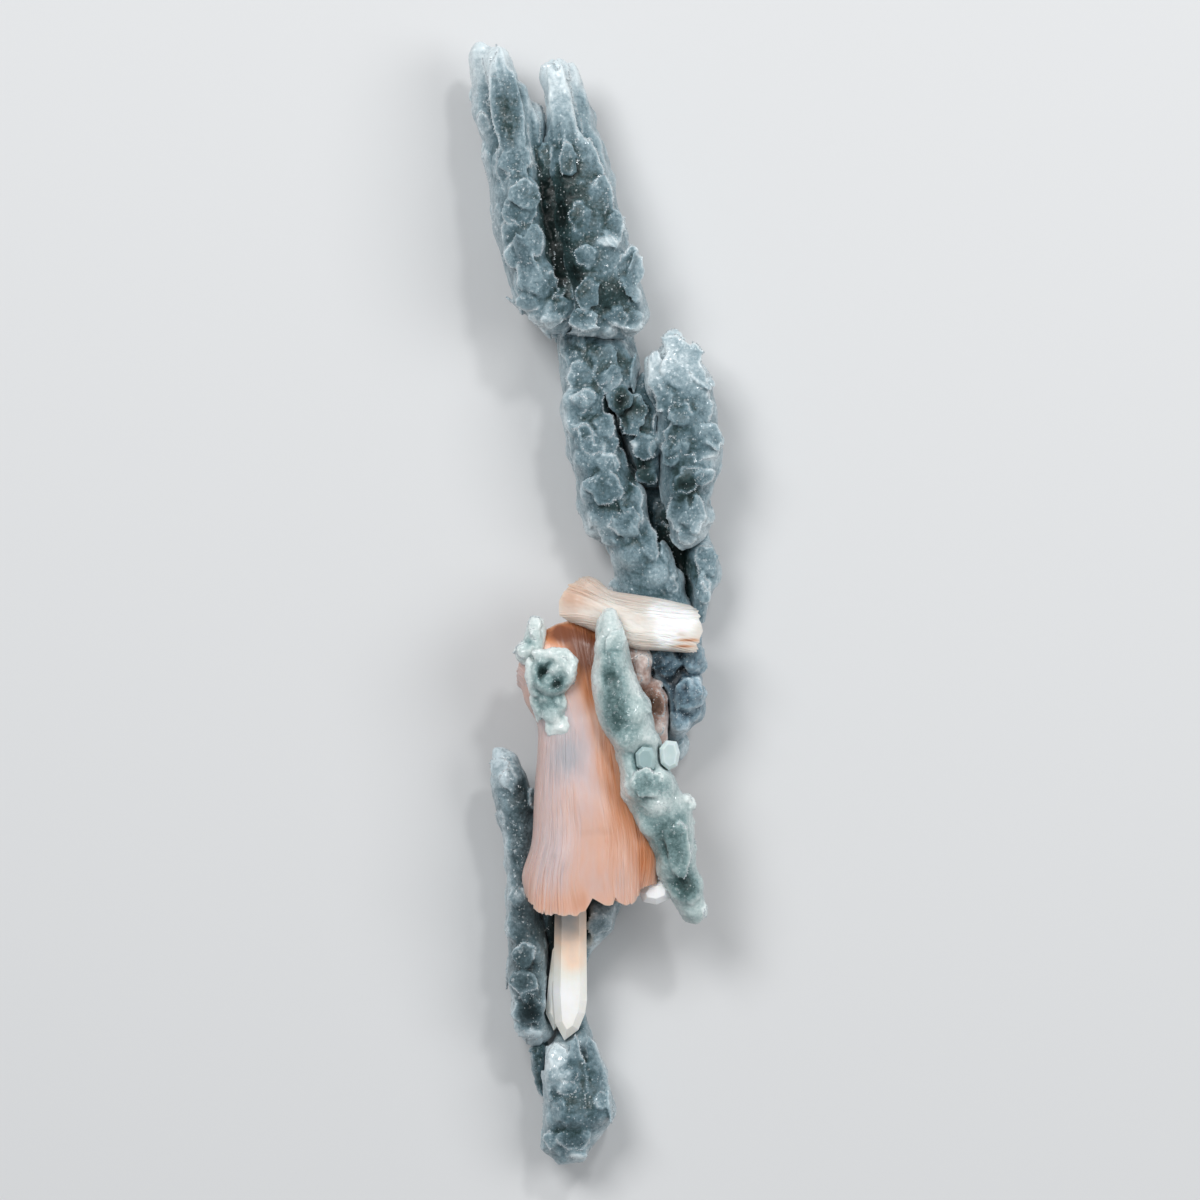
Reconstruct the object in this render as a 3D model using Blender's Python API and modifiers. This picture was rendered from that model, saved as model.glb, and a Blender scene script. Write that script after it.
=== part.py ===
"""A spray of chalcedony fingers that carries stilbite sheaves and small heulandite crystals.

The piece lies on its back on Z = 0 with its length along Y, and its best side faces +Z.
Lengths in the constants are in millimetres, and MM turns them into metres when a mesh is made.
Edges are lists of (x, y) points as seen from +Z. Depth lists are (station, value) pairs, where a
station is a place along the limb: a y on an upright limb, an x on one that lies across.
"""

import math
import random
from dataclasses import dataclass, field

import bmesh
import bpy
import numpy as np
from mathutils import Matrix, Vector
from mathutils.bvhtree import BVHTree

MM = 0.001

# Clearance between pieces that have grown against each other, and the skin that lumps stand proud.
JOINT_GAP = 0.45
CRYSTAL_GAP = 0.85
SKIN = 0.25

# Fineness of the solids: ring spacing, points round a ring, and the grain that fuses lumps and limbs.
RING_STEP = 1.0
RING_POINTS = 24
FUSING_GRAIN = 0.5

# How round a section is: 2 is an ellipse, and more is boxier.
FINGER_FULLNESS = 2.2
SHEAF_FULLNESS = 2.5

# A lump is a flattened ball: thickness and sunk depth as shares of its radius.
LUMP_THICKNESS = 0.55
LUMP_SINK = 0.3

OBJECT_NAME = "heulandite_with_stilbite"
GROUND_DEPTH = 20.0
GROUND_SIZE = 400.0


@dataclass
class Limb:
    """A limb given by its two edges from the front and by its middle height and half depth."""

    first_edge: list
    second_edge: list
    middle: list
    half_depth: list
    along: int = 1
    fullness: float = FINGER_FULLNESS

    def span(self):
        """Lowest and highest station that both edges reach."""
        first = [point[self.along] for point in self.first_edge]
        second = [point[self.along] for point in self.second_edge]
        return max(min(first), min(second)), min(max(first), max(second))

    def edge_at(self, edge, station):
        """Place of an edge across the limb at a station."""
        return between([(point[self.along], point[1 - self.along]) for point in edge], station)

    def centre_at(self, station):
        """Middle of the section across the limb, and half its width."""
        first = self.edge_at(self.first_edge, station)
        second = self.edge_at(self.second_edge, station)
        half = max(abs(second - first) / 2 - SKIN, SKIN)
        return (first + second) / 2, half

    def surface(self, station, angle, scale=1.0):
        """Point on the limb's skin at an angle round its section."""
        across, half = self.centre_at(station)
        power = 2 / self.fullness
        cosine, sine = math.cos(angle), math.sin(angle)
        across += scale * half * math.copysign(abs(cosine) ** power, cosine)
        depth = between(self.half_depth, station)
        height = between(self.middle, station)
        height += scale * depth * math.copysign(abs(sine) ** power, sine)
        return Vector((across, station, height) if self.along else (station, across, height))

    def outward(self, angle):
        """Direction away from the limb's axis at an angle round its section."""
        across, height = math.cos(angle), math.sin(angle)
        return Vector((across, 0, height) if self.along else (0, across, height))

    def front(self, x, y):
        """Height of the front skin over a point, or None beside the limb."""
        station, across = (y, x) if self.along else (x, y)
        low, high = self.span()
        middle, half = self.centre_at(station)
        share = abs(across - middle) / half
        if not low <= station <= high or share >= 1:
            return None
        depth = between(self.half_depth, station)
        return between(self.middle, station) + depth * (1 - share**self.fullness) ** (1 / self.fullness)


@dataclass
class Growth:
    """A chalcedony piece: limbs, placed lumps as (x, y, radius), and scattered lumps."""

    limbs: list
    faces: int
    lumps: list = field(default_factory=list)
    scattered: int = 0
    lump_size: tuple = (1.1, 2.0)
    seed: int = 1
    colour: tuple = (0.16, 0.21, 0.24)


def between(pairs, at):
    """Straight-line value at a station from (station, value) pairs."""
    stations, values = zip(*sorted(pairs))
    return float(np.interp(at, stations, values))


def new_object(name, mesh, collection):
    """Object with this mesh in a collection."""
    made = bpy.data.objects.new(name, mesh)
    collection.objects.link(made)
    return made


def material(name, colour, roughness):
    """Plain Principled material."""
    made = bpy.data.materials.new(name)
    made.use_nodes = True
    shader = made.node_tree.nodes["Principled BSDF"]
    shader.inputs["Base Color"].default_value = (*colour, 1)
    shader.inputs["Roughness"].default_value = roughness
    shader.inputs["Metallic"].default_value = 0
    made.diffuse_color = (*colour, 1)
    return made


def loft(bm, rings):
    """Closed skin over a list of rings of points, with flat ends."""
    loops = []
    for ring in rings:
        points = [bm.verts.new(point) for point in ring]
        edges = [bm.edges.new((point, points[index - 1])) for index, point in enumerate(points)]
        loops.append((points, edges))
    for lower, upper in zip(loops, loops[1:]):
        bmesh.ops.bridge_loops(bm, edges=lower[1] + upper[1])
    for points, _ in (loops[0], loops[-1]):
        bm.faces.new(points)


def add_limb(bm, limb):
    """Loft a limb from elliptical sections a ring step apart."""
    low, high = limb.span()
    steps = max(3, round((high - low) / RING_STEP))
    angles = [2 * math.pi * index / RING_POINTS for index in range(RING_POINTS)]
    rings = []
    for index in range(steps + 1):
        station = low + (high - low) * index / steps
        rings.append([limb.surface(station, angle) for angle in angles])
    loft(bm, rings)


def add_lump(bm, place, outward, radius):
    """Flattened ball that lies on the skin, turned to face outward."""
    turn = outward.to_track_quat("Z", "Y").to_matrix().to_4x4()
    flat = Matrix.Diagonal((radius, radius, radius * LUMP_THICKNESS, 1))
    centre = place - outward * (radius * LUMP_THICKNESS * LUMP_SINK)
    bmesh.ops.create_icosphere(
        bm, subdivisions=2, radius=1, matrix=Matrix.Translation(centre) @ turn @ flat
    )


def front_of(limbs, x, y):
    """Highest front skin of some limbs over a point."""
    heights = [limb.front(x, y) for limb in limbs]
    return max((height for height in heights if height is not None), default=None)


def add_lumps(bm, growth):
    """Placed lumps on the front, then scattered ones on every side."""
    for x, y, radius in growth.lumps:
        height = front_of(growth.limbs, x, y)
        if height is None:
            height = growth.limbs[0].middle[0][1]
        add_lump(bm, Vector((x, y, height)), Vector((0, 0, 1)), radius)
    dice = random.Random(growth.seed)
    lengths = [limb.span()[1] - limb.span()[0] for limb in growth.limbs]
    for _ in range(growth.scattered):
        limb = dice.choices(growth.limbs, lengths)[0]
        low, high = limb.span()
        station = dice.uniform(low + SKIN, high - SKIN)
        angle = dice.uniform(0, 2 * math.pi)
        radius = min(dice.uniform(*growth.lump_size), limb.centre_at(station)[1])
        add_lump(bm, limb.surface(station, angle), limb.outward(angle), radius)


def to_mesh(bm, name):
    """Mesh in metres with its faces pointing outwards."""
    bmesh.ops.scale(bm, vec=(MM, MM, MM), verts=bm.verts)
    bmesh.ops.recalc_face_normals(bm, faces=bm.faces)
    mesh = bpy.data.meshes.new(name)
    bm.to_mesh(mesh)
    bm.free()
    return mesh


def bake(obj):
    """Replace an object's mesh by its modified shape and drop the modifiers."""
    graph = bpy.context.evaluated_depsgraph_get()
    mesh = bpy.data.meshes.new_from_object(obj.evaluated_get(graph))
    obj.modifiers.clear()
    obj.data = mesh


def keep_largest_body(obj):
    """Drop the crumbs that a cut leaves beside the main body."""
    bm = bmesh.new()
    bm.from_mesh(obj.data)
    waiting = set(bm.verts)
    bodies = []
    while waiting:
        body, edge_of_body = set(), [waiting.pop()]
        while edge_of_body:
            point = edge_of_body.pop()
            body.add(point)
            for edge in point.link_edges:
                other = edge.other_vert(point)
                if other in waiting:
                    waiting.remove(other)
                    edge_of_body.append(other)
        bodies.append(body)
    largest = max(bodies, key=len)
    crumbs = [point for point in bm.verts if point not in largest]
    bmesh.ops.delete(bm, geom=crumbs, context="VERTS")
    bm.to_mesh(obj.data)
    bm.free()


def fuse(obj):
    """Melt overlapping limbs and lumps into one clean skin."""
    melt = obj.modifiers.new("melt", "REMESH")
    melt.mode = "VOXEL"
    melt.voxel_size = FUSING_GRAIN * MM
    bake(obj)
    keep_largest_body(obj)


def thin_out(obj, faces):
    """Collapse a skin's small faces until about this many triangles are left."""
    obj.data.calc_loop_triangles()
    thin = obj.modifiers.new("thin", "DECIMATE")
    thin.ratio = min(1.0, faces / len(obj.data.loop_triangles))
    bake(obj)


def build_growth(name, growth, collection):
    """One chalcedony piece."""
    bm = bmesh.new()
    for limb in growth.limbs:
        add_limb(bm, limb)
    add_lumps(bm, growth)
    made = new_object(name, to_mesh(bm, name), collection)
    fuse(made)
    made.data.materials.append(material(name, growth.colour, 0.35))
    return made


# Upper cluster: two leaning groups of fingers, fused below y = 70 and ragged at y = 40.
UPPER_LEFT = Growth(
    limbs=[
        Limb(
            first_edge=[
                (-7.5, 40.5), (-9.2, 42.6), (-12.0, 44.8), (-12.4, 46.5), (-13.2, 49.5), (-14.1, 52.4),
                (-15.4, 55.2), (-15.8, 60.0), (-16.0, 63.0), (-17.0, 67.5), (-16.6, 68.6), (-17.4, 71.0),
                (-18.8, 73.0), (-18.4, 77.0), (-19.0, 79.8), (-19.4, 82.0), (-18.2, 84.3),
            ],
            second_edge=[
                (-6.5, 40.5), (-6.8, 46.0), (-8.5, 55.0), (-10.5, 65.0), (-12.0, 73.0), (-13.8, 80.0),
                (-15.6, 83.0), (-17.2, 84.3),
            ],
            middle=[(44, 9), (60, 8), (75, 8.5), (84, 9)],
            half_depth=[(40, 2), (44, 5.4), (50, 7.6), (60, 8), (70, 5), (80, 2.8), (84.3, 0.9)],
        ),
        Limb(
            first_edge=[
                (-7.8, 40.3), (-11.0, 46.0), (-12.6, 55.0), (-13.3, 61.3), (-14.9, 65.0), (-14.4, 68.0),
                (-14.5, 72.5), (-16.2, 78.5), (-17.2, 81.8), (-15.2, 83.4),
            ],
            second_edge=[
                (-5.8, 40.3), (-6.0, 45.0), (-7.0, 52.0), (-8.0, 60.0), (-8.8, 68.0), (-9.7, 75.1),
                (-10.5, 76.6), (-12.0, 78.3), (-11.9, 79.5), (-13.0, 81.2), (-13.9, 83.4),
            ],
            middle=[(40, 12.5), (60, 11.2), (75, 11.4), (83.5, 11)],
            half_depth=[(40, 1.6), (42, 4.2), (50, 6.2), (60, 6.2), (70, 4.4), (80, 2.6), (83.4, 0.9)],
        ),
        Limb(
            first_edge=[
                (-6.3, 40.2), (-6.5, 47.0), (-8.0, 55.0), (-9.0, 62.0), (-9.6, 68.0), (-9.9, 72.0),
                (-9.4, 75.0),
            ],
            second_edge=[
                (-3.6, 40.2), (-3.2, 44.0), (-3.5, 46.0), (-4.2, 50.0), (-5.7, 54.0), (-6.2, 58.0),
                (-6.9, 62.0), (-7.4, 66.0), (-7.3, 72.4), (-8.4, 75.0),
            ],
            middle=[(40, 11), (60, 9), (75, 9.5)],
            half_depth=[(40, 1.6), (43, 4), (55, 5.4), (65, 4.4), (73, 2.4), (75, 0.8)],
        ),
    ],
    lumps=[
        (-11.0, 66.5, 2.0), (-10.6, 61.2, 2.5), (-12.0, 57.5, 2.2), (-9.4, 53.8, 2.4), (-12.2, 52.0, 1.9),
        (-8.0, 49.0, 2.2), (-10.6, 47.5, 2.0), (-6.6, 44.6, 2.6), (-9.4, 44.2, 1.6), (-4.8, 42.2, 1.5),
    ],
    faces=1100,
    scattered=70,
    seed=11,
)

UPPER_RIGHT = Growth(
    limbs=[
        Limb(
            first_edge=[
                (-4.2, 40.2), (-4.0, 44.0), (-4.2, 46.0), (-5.0, 50.0), (-6.4, 54.0), (-6.9, 58.0),
                (-7.6, 62.0), (-7.9, 66.0), (-7.4, 70.4), (-7.0, 74.0), (-7.1, 76.3), (-7.7, 78.3),
                (-8.9, 80.6),
            ],
            second_edge=[
                (2.5, 40.2), (3.5, 48.0), (2.5, 54.0), (1.0, 60.0), (-0.5, 66.0), (-1.8, 70.5),
                (-2.7, 73.5), (-3.6, 77.3), (-4.6, 81.3),
            ],
            middle=[(40, 11.5), (60, 10.5), (81, 11)],
            half_depth=[(40, 1.8), (42, 4.4), (50, 5.8), (60, 5.6), (70, 4), (78, 2.6), (81.3, 0.8)],
        ),
        Limb(
            first_edge=[
                (0.0, 39.6), (-2.5, 46.0), (-5.5, 58.0), (-6.0, 66.0), (-4.4, 77.0), (-4.6, 81.3),
            ],
            second_edge=[
                (5.6, 39.6), (7.9, 42.0), (8.8, 42.9), (8.0, 44.5), (7.3, 47.0), (6.3, 49.5), (5.4, 53.0),
                (4.6, 55.3), (4.7, 56.5), (3.5, 59.0), (3.0, 62.5), (1.4, 67.5), (0.4, 70.3),
                (-0.2, 73.2), (-1.9, 77.7), (-2.9, 81.3),
            ],
            middle=[(40, 10), (60, 8), (81, 9)],
            half_depth=[(39.6, 1.4), (42, 5), (50, 8), (60, 8), (70, 4.8), (78, 2.8), (81.3, 0.8)],
        ),
    ],
    lumps=[
        (0.4, 62.0, 2.1), (-2.4, 66.0, 1.8), (2.6, 57.0, 2.0), (-2.2, 58.5, 1.9), (1.8, 53.4, 1.7),
        (-1.0, 51.8, 1.7), (4.4, 50.5, 1.9), (-1.2, 46.2, 2.1), (5.4, 45.6, 2.0), (-1.5, 42.0, 1.9),
        (3.7, 43.4, 1.7), (1.4, 41.6, 1.5),
    ],
    faces=960,
    scattered=62,
    seed=12,
)

# Main stem: the long column below the cluster, and the lobe beside its crack.
MAIN_STEM = Growth(
    limbs=[
        Limb(
            first_edge=[
                (3.0, -1.5), (2.4, 2.2), (3.1, 3.5), (2.5, 7.0), (2.3, 8.7), (0.2, 9.4), (-1.2, 10.4),
                (-1.4, 12.3), (-2.5, 14.1), (-2.3, 16.3), (-3.0, 19.0), (-3.9, 22.0), (-4.5, 25.0),
                (-5.1, 27.4), (-5.7, 29.2), (-4.8, 30.6), (-5.3, 33.5), (-5.6, 36.5), (-6.0, 40.0),
                (-5.6, 47.0),
            ],
            second_edge=[
                (14.5, -1.5), (13.4, 2.5), (12.0, 5.0), (10.2, 7.8), (8.5, 10.5), (8.0, 14.5),
                (7.4, 16.0), (6.6, 17.3), (5.3, 20.0), (4.6, 22.3), (3.4, 24.5), (2.4, 28.0),
                (2.2, 31.0), (5.8, 32.5), (7.2, 34.3), (6.0, 36.8), (5.3, 39.4), (4.6, 47.0),
            ],
            middle=[(-1.5, 5), (5, 5.4), (15, 6.3), (30, 6.4), (47, 5)],
            half_depth=[(-1.5, 4), (3, 5), (10, 5.6), (20, 6.6), (30, 6.6), (38, 5.6), (47, 4)],
        )
    ],
    lumps=[
        (2.0, 33.8, 1.9), (-2.5, 34.2, 1.9), (3.6, 37.0, 1.8), (-3.4, 30.2, 1.9), (-0.6, 29.5, 2.0),
        (-2.6, 26.2, 1.9), (0.8, 25.4, 1.8), (2.2, 20.8, 1.7), (-1.6, 21.6, 1.8), (2.6, 17.4, 2.2),
        (-0.8, 16.6, 1.8), (0.6, 12.6, 1.7), (5.0, 12.4, 2.2), (5.8, 7.2, 2.4), (9.2, 4.0, 2.2),
    ],
    faces=960,
    scattered=66,
    seed=13,
)

INNER_LOBE = Growth(
    limbs=[
        Limb(
            first_edge=[
                (7.2, 17.2), (5.9, 20.3), (5.1, 22.5), (3.9, 24.8), (3.1, 28.2), (4.2, 31.5), (6.0, 34.5),
            ],
            second_edge=[(10.0, 17.2), (11.2, 21.0), (11.0, 25.0), (10.5, 30.0), (8.6, 34.5)],
            middle=[(17, 6), (26, 6.4), (35, 6)],
            half_depth=[(17.2, 2), (20, 4.2), (28, 4.6), (34.5, 2.4)],
        ),
        Limb(
            first_edge=[(4.4, 18.0), (2.5, 24.0), (1.0, 28.0), (0.4, 33.0)],
            second_edge=[(9.0, 18.0), (8.0, 24.0), (8.0, 33.0)],
            middle=[(18, 2.8), (33, 2.8)],
            half_depth=[(18, 1.6), (24, 2.4), (33, 2)],
        ),
    ],
    lumps=[(10.2, 20.7, 1.35), (8.0, 23.2, 1.8), (5.6, 27.6, 2.2), (7.4, 19.4, 1.5)],
    faces=340,
    scattered=14,
    seed=14,
)

# Right branch: the petal-shaped lobe, and the blade and channel floor behind it.
RIGHT_LOBE = Growth(
    limbs=[
        Limb(
            first_edge=[
                (12.9, 7.8), (11.7, 9.4), (10.7, 13.0), (9.7, 17.3), (9.7, 20.0), (9.3, 25.0),
                (9.3, 30.5), (8.9, 34.0), (9.2, 37.4), (10.0, 38.5), (11.6, 39.8),
            ],
            second_edge=[
                (14.2, 7.8), (16.5, 9.2), (17.3, 10.3), (17.7, 12.2), (17.0, 15.0), (17.4, 17.5),
                (19.0, 19.7), (19.5, 22.4), (18.9, 24.7), (18.4, 27.5), (18.7, 28.6), (17.5, 32.0),
                (17.0, 34.0), (15.6, 36.2), (14.2, 37.2), (13.8, 38.6), (12.8, 39.8),
            ],
            middle=[(8, 8), (20, 8), (40, 8.6)],
            half_depth=[(7.8, 0.9), (10, 3), (17, 5), (25, 6), (32, 5), (37, 2.8), (39.8, 0.8)],
        ),
        Limb(
            first_edge=[(8.6, 30.8), (7.6, 32.5), (7.4, 34.0), (7.6, 36.4)],
            second_edge=[(11.0, 30.8), (11.5, 34.0), (10.0, 36.9)],
            middle=[(31, 10), (37, 10)],
            half_depth=[(30.8, 1.6), (33, 2.8), (36.4, 1)],
        ),
    ],
    lumps=[
        (13.0, 34.6, 2.2), (15.2, 31.4, 2.2), (11.6, 29.4, 2.3), (14.0, 26.6, 2.6), (16.8, 23.6, 2.2),
        (12.4, 22.0, 2.3), (15.6, 19.4, 2.2), (12.8, 17.2, 2.0), (14.6, 13.8, 2.1), (13.8, 10.6, 1.6),
    ],
    faces=760,
    scattered=44,
    seed=15,
    colour=(0.24, 0.32, 0.35),
)

RIGHT_LOWER_BLADE = Growth(
    limbs=[
        Limb(
            first_edge=[(14.6, -3.8), (14.8, 1.8), (14.0, 5.0), (13.4, 9.0), (13.6, 13.0)],
            second_edge=[
                (16.0, -3.8), (16.8, -2.7), (17.3, 0.2), (18.5, 3.3), (19.2, 5.0), (18.8, 6.5),
                (17.6, 9.0), (16.8, 13.0),
            ],
            middle=[(-4, 5.2), (13, 5.2)],
            half_depth=[(-3.8, 1.2), (0, 3), (8, 3.2), (13, 1.6)],
        ),
        Limb(
            first_edge=[(12.0, 0.0), (9.0, 5.0), (7.5, 10.0), (6.5, 17.0)],
            second_edge=[(16.0, 0.0), (16.0, 5.0), (15.0, 10.0), (12.0, 17.0)],
            middle=[(0, 2.6), (17, 2.6)],
            half_depth=[(0, 1.6), (6, 2.2), (17, 1.6)],
        ),
    ],
    lumps=[(17.2, 6.2, 1.4), (16.6, 2.6, 1.4)],
    faces=300,
    scattered=14,
    seed=16,
)

# Right flank below the bow-tie: dark balls and the pale stub under them.
SIDE_BALLS = Growth(
    limbs=[
        Limb(
            first_edge=[(8.6, -4.5), (8.0, -8.0), (8.2, -14.0), (9.5, -18.0), (11.4, -20.8)],
            second_edge=[
                (15.4, -4.5), (15.9, -7.5), (15.9, -11.0), (16.3, -13.0), (16.0, -16.5), (14.0, -19.8),
                (12.8, -20.8),
            ],
            middle=[(-21, 8), (-4, 8)],
            half_depth=[(-20.8, 1.4), (-17, 4), (-11, 4.6), (-4.5, 3)],
        )
    ],
    lumps=[
        (10.3, -9.4, 2.5), (13.7, -8.2, 2.3), (13.6, -12.6, 2.6), (10.4, -12.6, 1.6), (11.4, -15.2, 2.1),
        (14.0, -16.4, 2.0), (12.6, -18.6, 1.6),
    ],
    faces=460,
    scattered=22,
    lump_size=(1.3, 2.3),
    seed=17,
    colour=(0.05, 0.08, 0.10),
)

BACK_STUB = Growth(
    limbs=[
        Limb(
            first_edge=[(10.2, -15.0), (10.2, -20.0), (10.8, -24.2)],
            second_edge=[(13.4, -15.0), (13.6, -20.0), (14.4, -22.4), (13.0, -24.2)],
            middle=[(-24, 5.6), (-15, 5.6)],
            half_depth=[(-24.2, 0.9), (-22, 2.4), (-15, 2.6)],
        )
    ],
    faces=170,
    scattered=7,
    lump_size=(0.8, 1.4),
    seed=18,
)

BACK_STEM = Growth(
    limbs=[
        Limb(
            first_edge=[
                (-6.4, -64.0), (-6.8, -56.0), (-7.7, -51.0), (-8.4, -46.5), (-7.6, -40.0), (-5.0, -25.0),
                (-1.5, -10.0), (3.0, -2.2),
            ],
            second_edge=[
                (-2.2, -64.0), (-2.0, -56.0), (-0.2, -52.5), (2.5, -49.5), (3.7, -45.8), (4.5, -38.0),
                (7.0, -25.0), (9.6, -12.0), (12.5, -2.2),
            ],
            middle=[(-64, 4), (-45, 5), (-2, 4.4)],
            half_depth=[(-64, 2), (-56, 3.4), (-45, 5.2), (-10, 4.8), (-2.2, 3)],
        )
    ],
    lumps=[(1.2, -47.4, 1.7), (-7.0, -49.0, 1.3), (-0.6, -50.6, 1.4)],
    faces=420,
    scattered=34,
    seed=19,
    colour=(0.10, 0.13, 0.15),
)

# Front finger: crosses the bow-tie's waist and runs down beside the large sheaf.
FRONT_FINGER = Growth(
    limbs=[
        Limb(
            first_edge=[
                (13.8, -48.1), (11.5, -45.2), (11.1, -44.0), (9.7, -42.0), (9.2, -39.0), (7.7, -36.0),
                (6.0, -33.5), (5.0, -31.0), (3.4, -29.0), (3.7, -26.0), (2.8, -21.5), (0.5, -18.5),
                (-0.2, -15.5), (-0.9, -10.5), (0.3, -8.3), (0.4, -5.0), (0.8, -1.6), (1.4, -0.8),
            ],
            second_edge=[
                (15.4, -48.1), (17.1, -46.8), (16.0, -43.0), (15.1, -39.0), (14.5, -35.0), (14.6, -31.5),
                (12.8, -28.0), (11.0, -24.0), (9.3, -20.3), (7.9, -15.0), (6.7, -12.3), (5.3, -9.0),
                (5.0, -6.0), (3.6, -2.2), (2.6, -0.8),
            ],
            middle=[(-48, 13), (-35, 16), (-25, 18), (-10, 19), (-1, 18.6)],
            half_depth=[
                (-48.1, 0.9), (-45, 2.4), (-38, 3.4), (-25, 4.2), (-10, 3.6), (-3, 2.2), (-0.8, 0.8),
            ],
        )
    ],
    lumps=[
        (2.6, -5.4, 1.6), (2.4, -9.4, 2.0), (3.2, -13.4, 2.2), (5.4, -16.6, 2.1), (4.6, -20.4, 1.8),
        (6.4, -27.4, 2.3), (9.4, -29.8, 2.2), (13.9, -29.8, 1.5), (8.2, -33.4, 1.9), (11.8, -34.4, 2.1),
        (11.6, -38.8, 2.2), (13.0, -43.2, 2.0), (14.4, -46.0, 1.4),
    ],
    faces=820,
    scattered=48,
    seed=20,
    colour=(0.22, 0.28, 0.27),
)

LOWER_LEFT_FINGER = Growth(
    limbs=[
        Limb(
            first_edge=[
                (-10.9, -66.6), (-12.2, -63.7), (-13.0, -61.3), (-12.2, -59.0), (-13.5, -56.5),
                (-13.0, -54.0), (-12.7, -51.2), (-13.9, -49.8), (-13.4, -47.5), (-13.2, -42.0),
                (-13.7, -37.0), (-14.0, -34.5), (-15.2, -30.5), (-15.7, -27.5), (-15.5, -24.5),
                (-15.9, -21.9),
            ],
            second_edge=[
                (-7.4, -66.6), (-6.4, -65.0), (-6.9, -60.0), (-7.0, -54.5), (-7.6, -50.0), (-8.6, -46.0),
                (-8.6, -40.0), (-8.9, -33.0), (-9.4, -29.0), (-10.4, -25.4), (-12.8, -23.2), (-14.0, -21.9),
            ],
            middle=[(-66, 5.4), (-40, 7), (-22, 9)],
            half_depth=[
                (-66.6, 1), (-64, 3.8), (-58, 5.4), (-50, 4.8), (-35, 3.8), (-25, 2.4), (-21.9, 0.8),
            ],
        )
    ],
    lumps=[
        (-13.6, -26.8, 1.5), (-12.2, -31.4, 1.8), (-12.0, -37.0, 1.8), (-11.2, -42.6, 1.9),
        (-11.6, -48.4, 2.0), (-9.8, -52.6, 2.0), (-11.0, -57.2, 2.2), (-8.8, -60.4, 1.7),
        (-10.8, -63.8, 1.8),
    ],
    faces=620,
    scattered=40,
    seed=21,
)

FOOT_CLUSTER = Growth(
    limbs=[
        Limb(
            first_edge=[
                (-4.4, -84.8), (-6.3, -83.0), (-7.8, -82.4), (-8.1, -81.0), (-7.8, -76.0), (-7.6, -70.0),
                (-7.6, -68.4), (-6.2, -66.2), (-4.6, -60.5),
            ],
            second_edge=[
                (-3.4, -84.8), (-1.3, -83.3), (0.0, -81.8), (2.4, -78.8), (3.7, -77.2), (3.0, -75.0),
                (1.9, -73.3), (1.1, -70.8), (0.0, -67.5), (-0.7, -65.8), (-1.6, -60.5),
            ],
            middle=[(-85, 5.4), (-74, 5.6), (-60, 4)],
            half_depth=[(-84.8, 0.8), (-82, 3.4), (-77, 5.6), (-68, 5), (-60.5, 2)],
        ),
        Limb(
            first_edge=[(-6.8, -73.4), (-7.6, -70.0), (-7.4, -68.0), (-6.4, -66.4)],
            second_edge=[(-4.4, -73.4), (-3.4, -70.0), (-3.8, -67.5), (-4.6, -66.4)],
            middle=[(-73, 10.2), (-66, 9.6)],
            half_depth=[(-73.4, 0.8), (-70, 1.6), (-66.4, 0.9)],
        ),
    ],
    lumps=[
        (-1.4, -70.6, 1.8), (0.6, -76.4, 2.0), (-3.4, -77.0, 2.2), (-6.0, -77.8, 1.7), (-2.6, -82.0, 1.8),
        (-6.2, -81.4, 1.5),
    ],
    faces=560,
    scattered=30,
    seed=22,
    colour=(0.24, 0.30, 0.32),
)

FOOT_BACK_FINGER = Growth(
    limbs=[
        Limb(
            first_edge=[(-8.4, -74.4), (-9.2, -72.6), (-9.8, -69.0), (-10.0, -66.0), (-9.6, -64.0)],
            second_edge=[(-7.6, -74.4), (-6.9, -70.0), (-6.6, -64.0)],
            middle=[(-74, 4.2), (-64, 4.2)],
            half_depth=[(-74.4, 0.8), (-71, 2), (-64, 2.4)],
        )
    ],
    faces=150,
    scattered=7,
    lump_size=(0.8, 1.3),
    seed=23,
)

SMALL_WHITE_FINGER = Growth(
    limbs=[
        Limb(
            first_edge=[
                (-11.2, -9.6), (-12.2, -7.8), (-10.8, -6.0), (-10.4, -4.5), (-10.3, -3.0), (-9.8, -2.0),
            ],
            second_edge=[(-8.4, -9.6), (-7.4, -7.0), (-7.3, -4.5), (-7.8, -3.0), (-8.6, -2.0)],
            middle=[(-9.6, 15), (-2, 15.6)],
            half_depth=[(-9.6, 1.6), (-7.5, 2.6), (-4, 1.6), (-2, 0.7)],
        )
    ],
    lumps=[(-10.8, -7.6, 1.4), (-8.8, -7.8, 1.2), (-9.0, -4.0, 1.1)],
    faces=200,
    scattered=8,
    lump_size=(0.7, 1.2),
    seed=24,
    colour=(0.45, 0.45, 0.44),
)

HOLLOW_RING = Growth(
    limbs=[
        Limb(
            first_edge=[(-7.4, -14.2), (-9.0, -12.8), (-9.7, -10.4), (-9.0, -8.6), (-7.2, -7.4)],
            second_edge=[(-5.4, -14.2), (-3.5, -12.8), (-2.7, -10.5), (-3.5, -8.5), (-5.4, -7.4)],
            middle=[(-14.2, 17.4), (-7.4, 17.4)],
            half_depth=[(-14.2, 1.6), (-12.5, 3.6), (-9, 3.6), (-7.4, 1.6)],
            fullness=2.8,
        )
    ],
    faces=260,
    scattered=12,
    lump_size=(0.8, 1.3),
    seed=25,
    colour=(0.40, 0.41, 0.42),
)

# The ring's hollow: centre, half widths and half depth, and the pale core that stands in it.
RING_HOLLOW = ((-6.4, -10.9, 21.2), (2.5, 2.3, 4.2))
RING_CORE = ((-5.4, -10.5, 17.6), (1.3, 1.2, 2.4))


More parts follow.
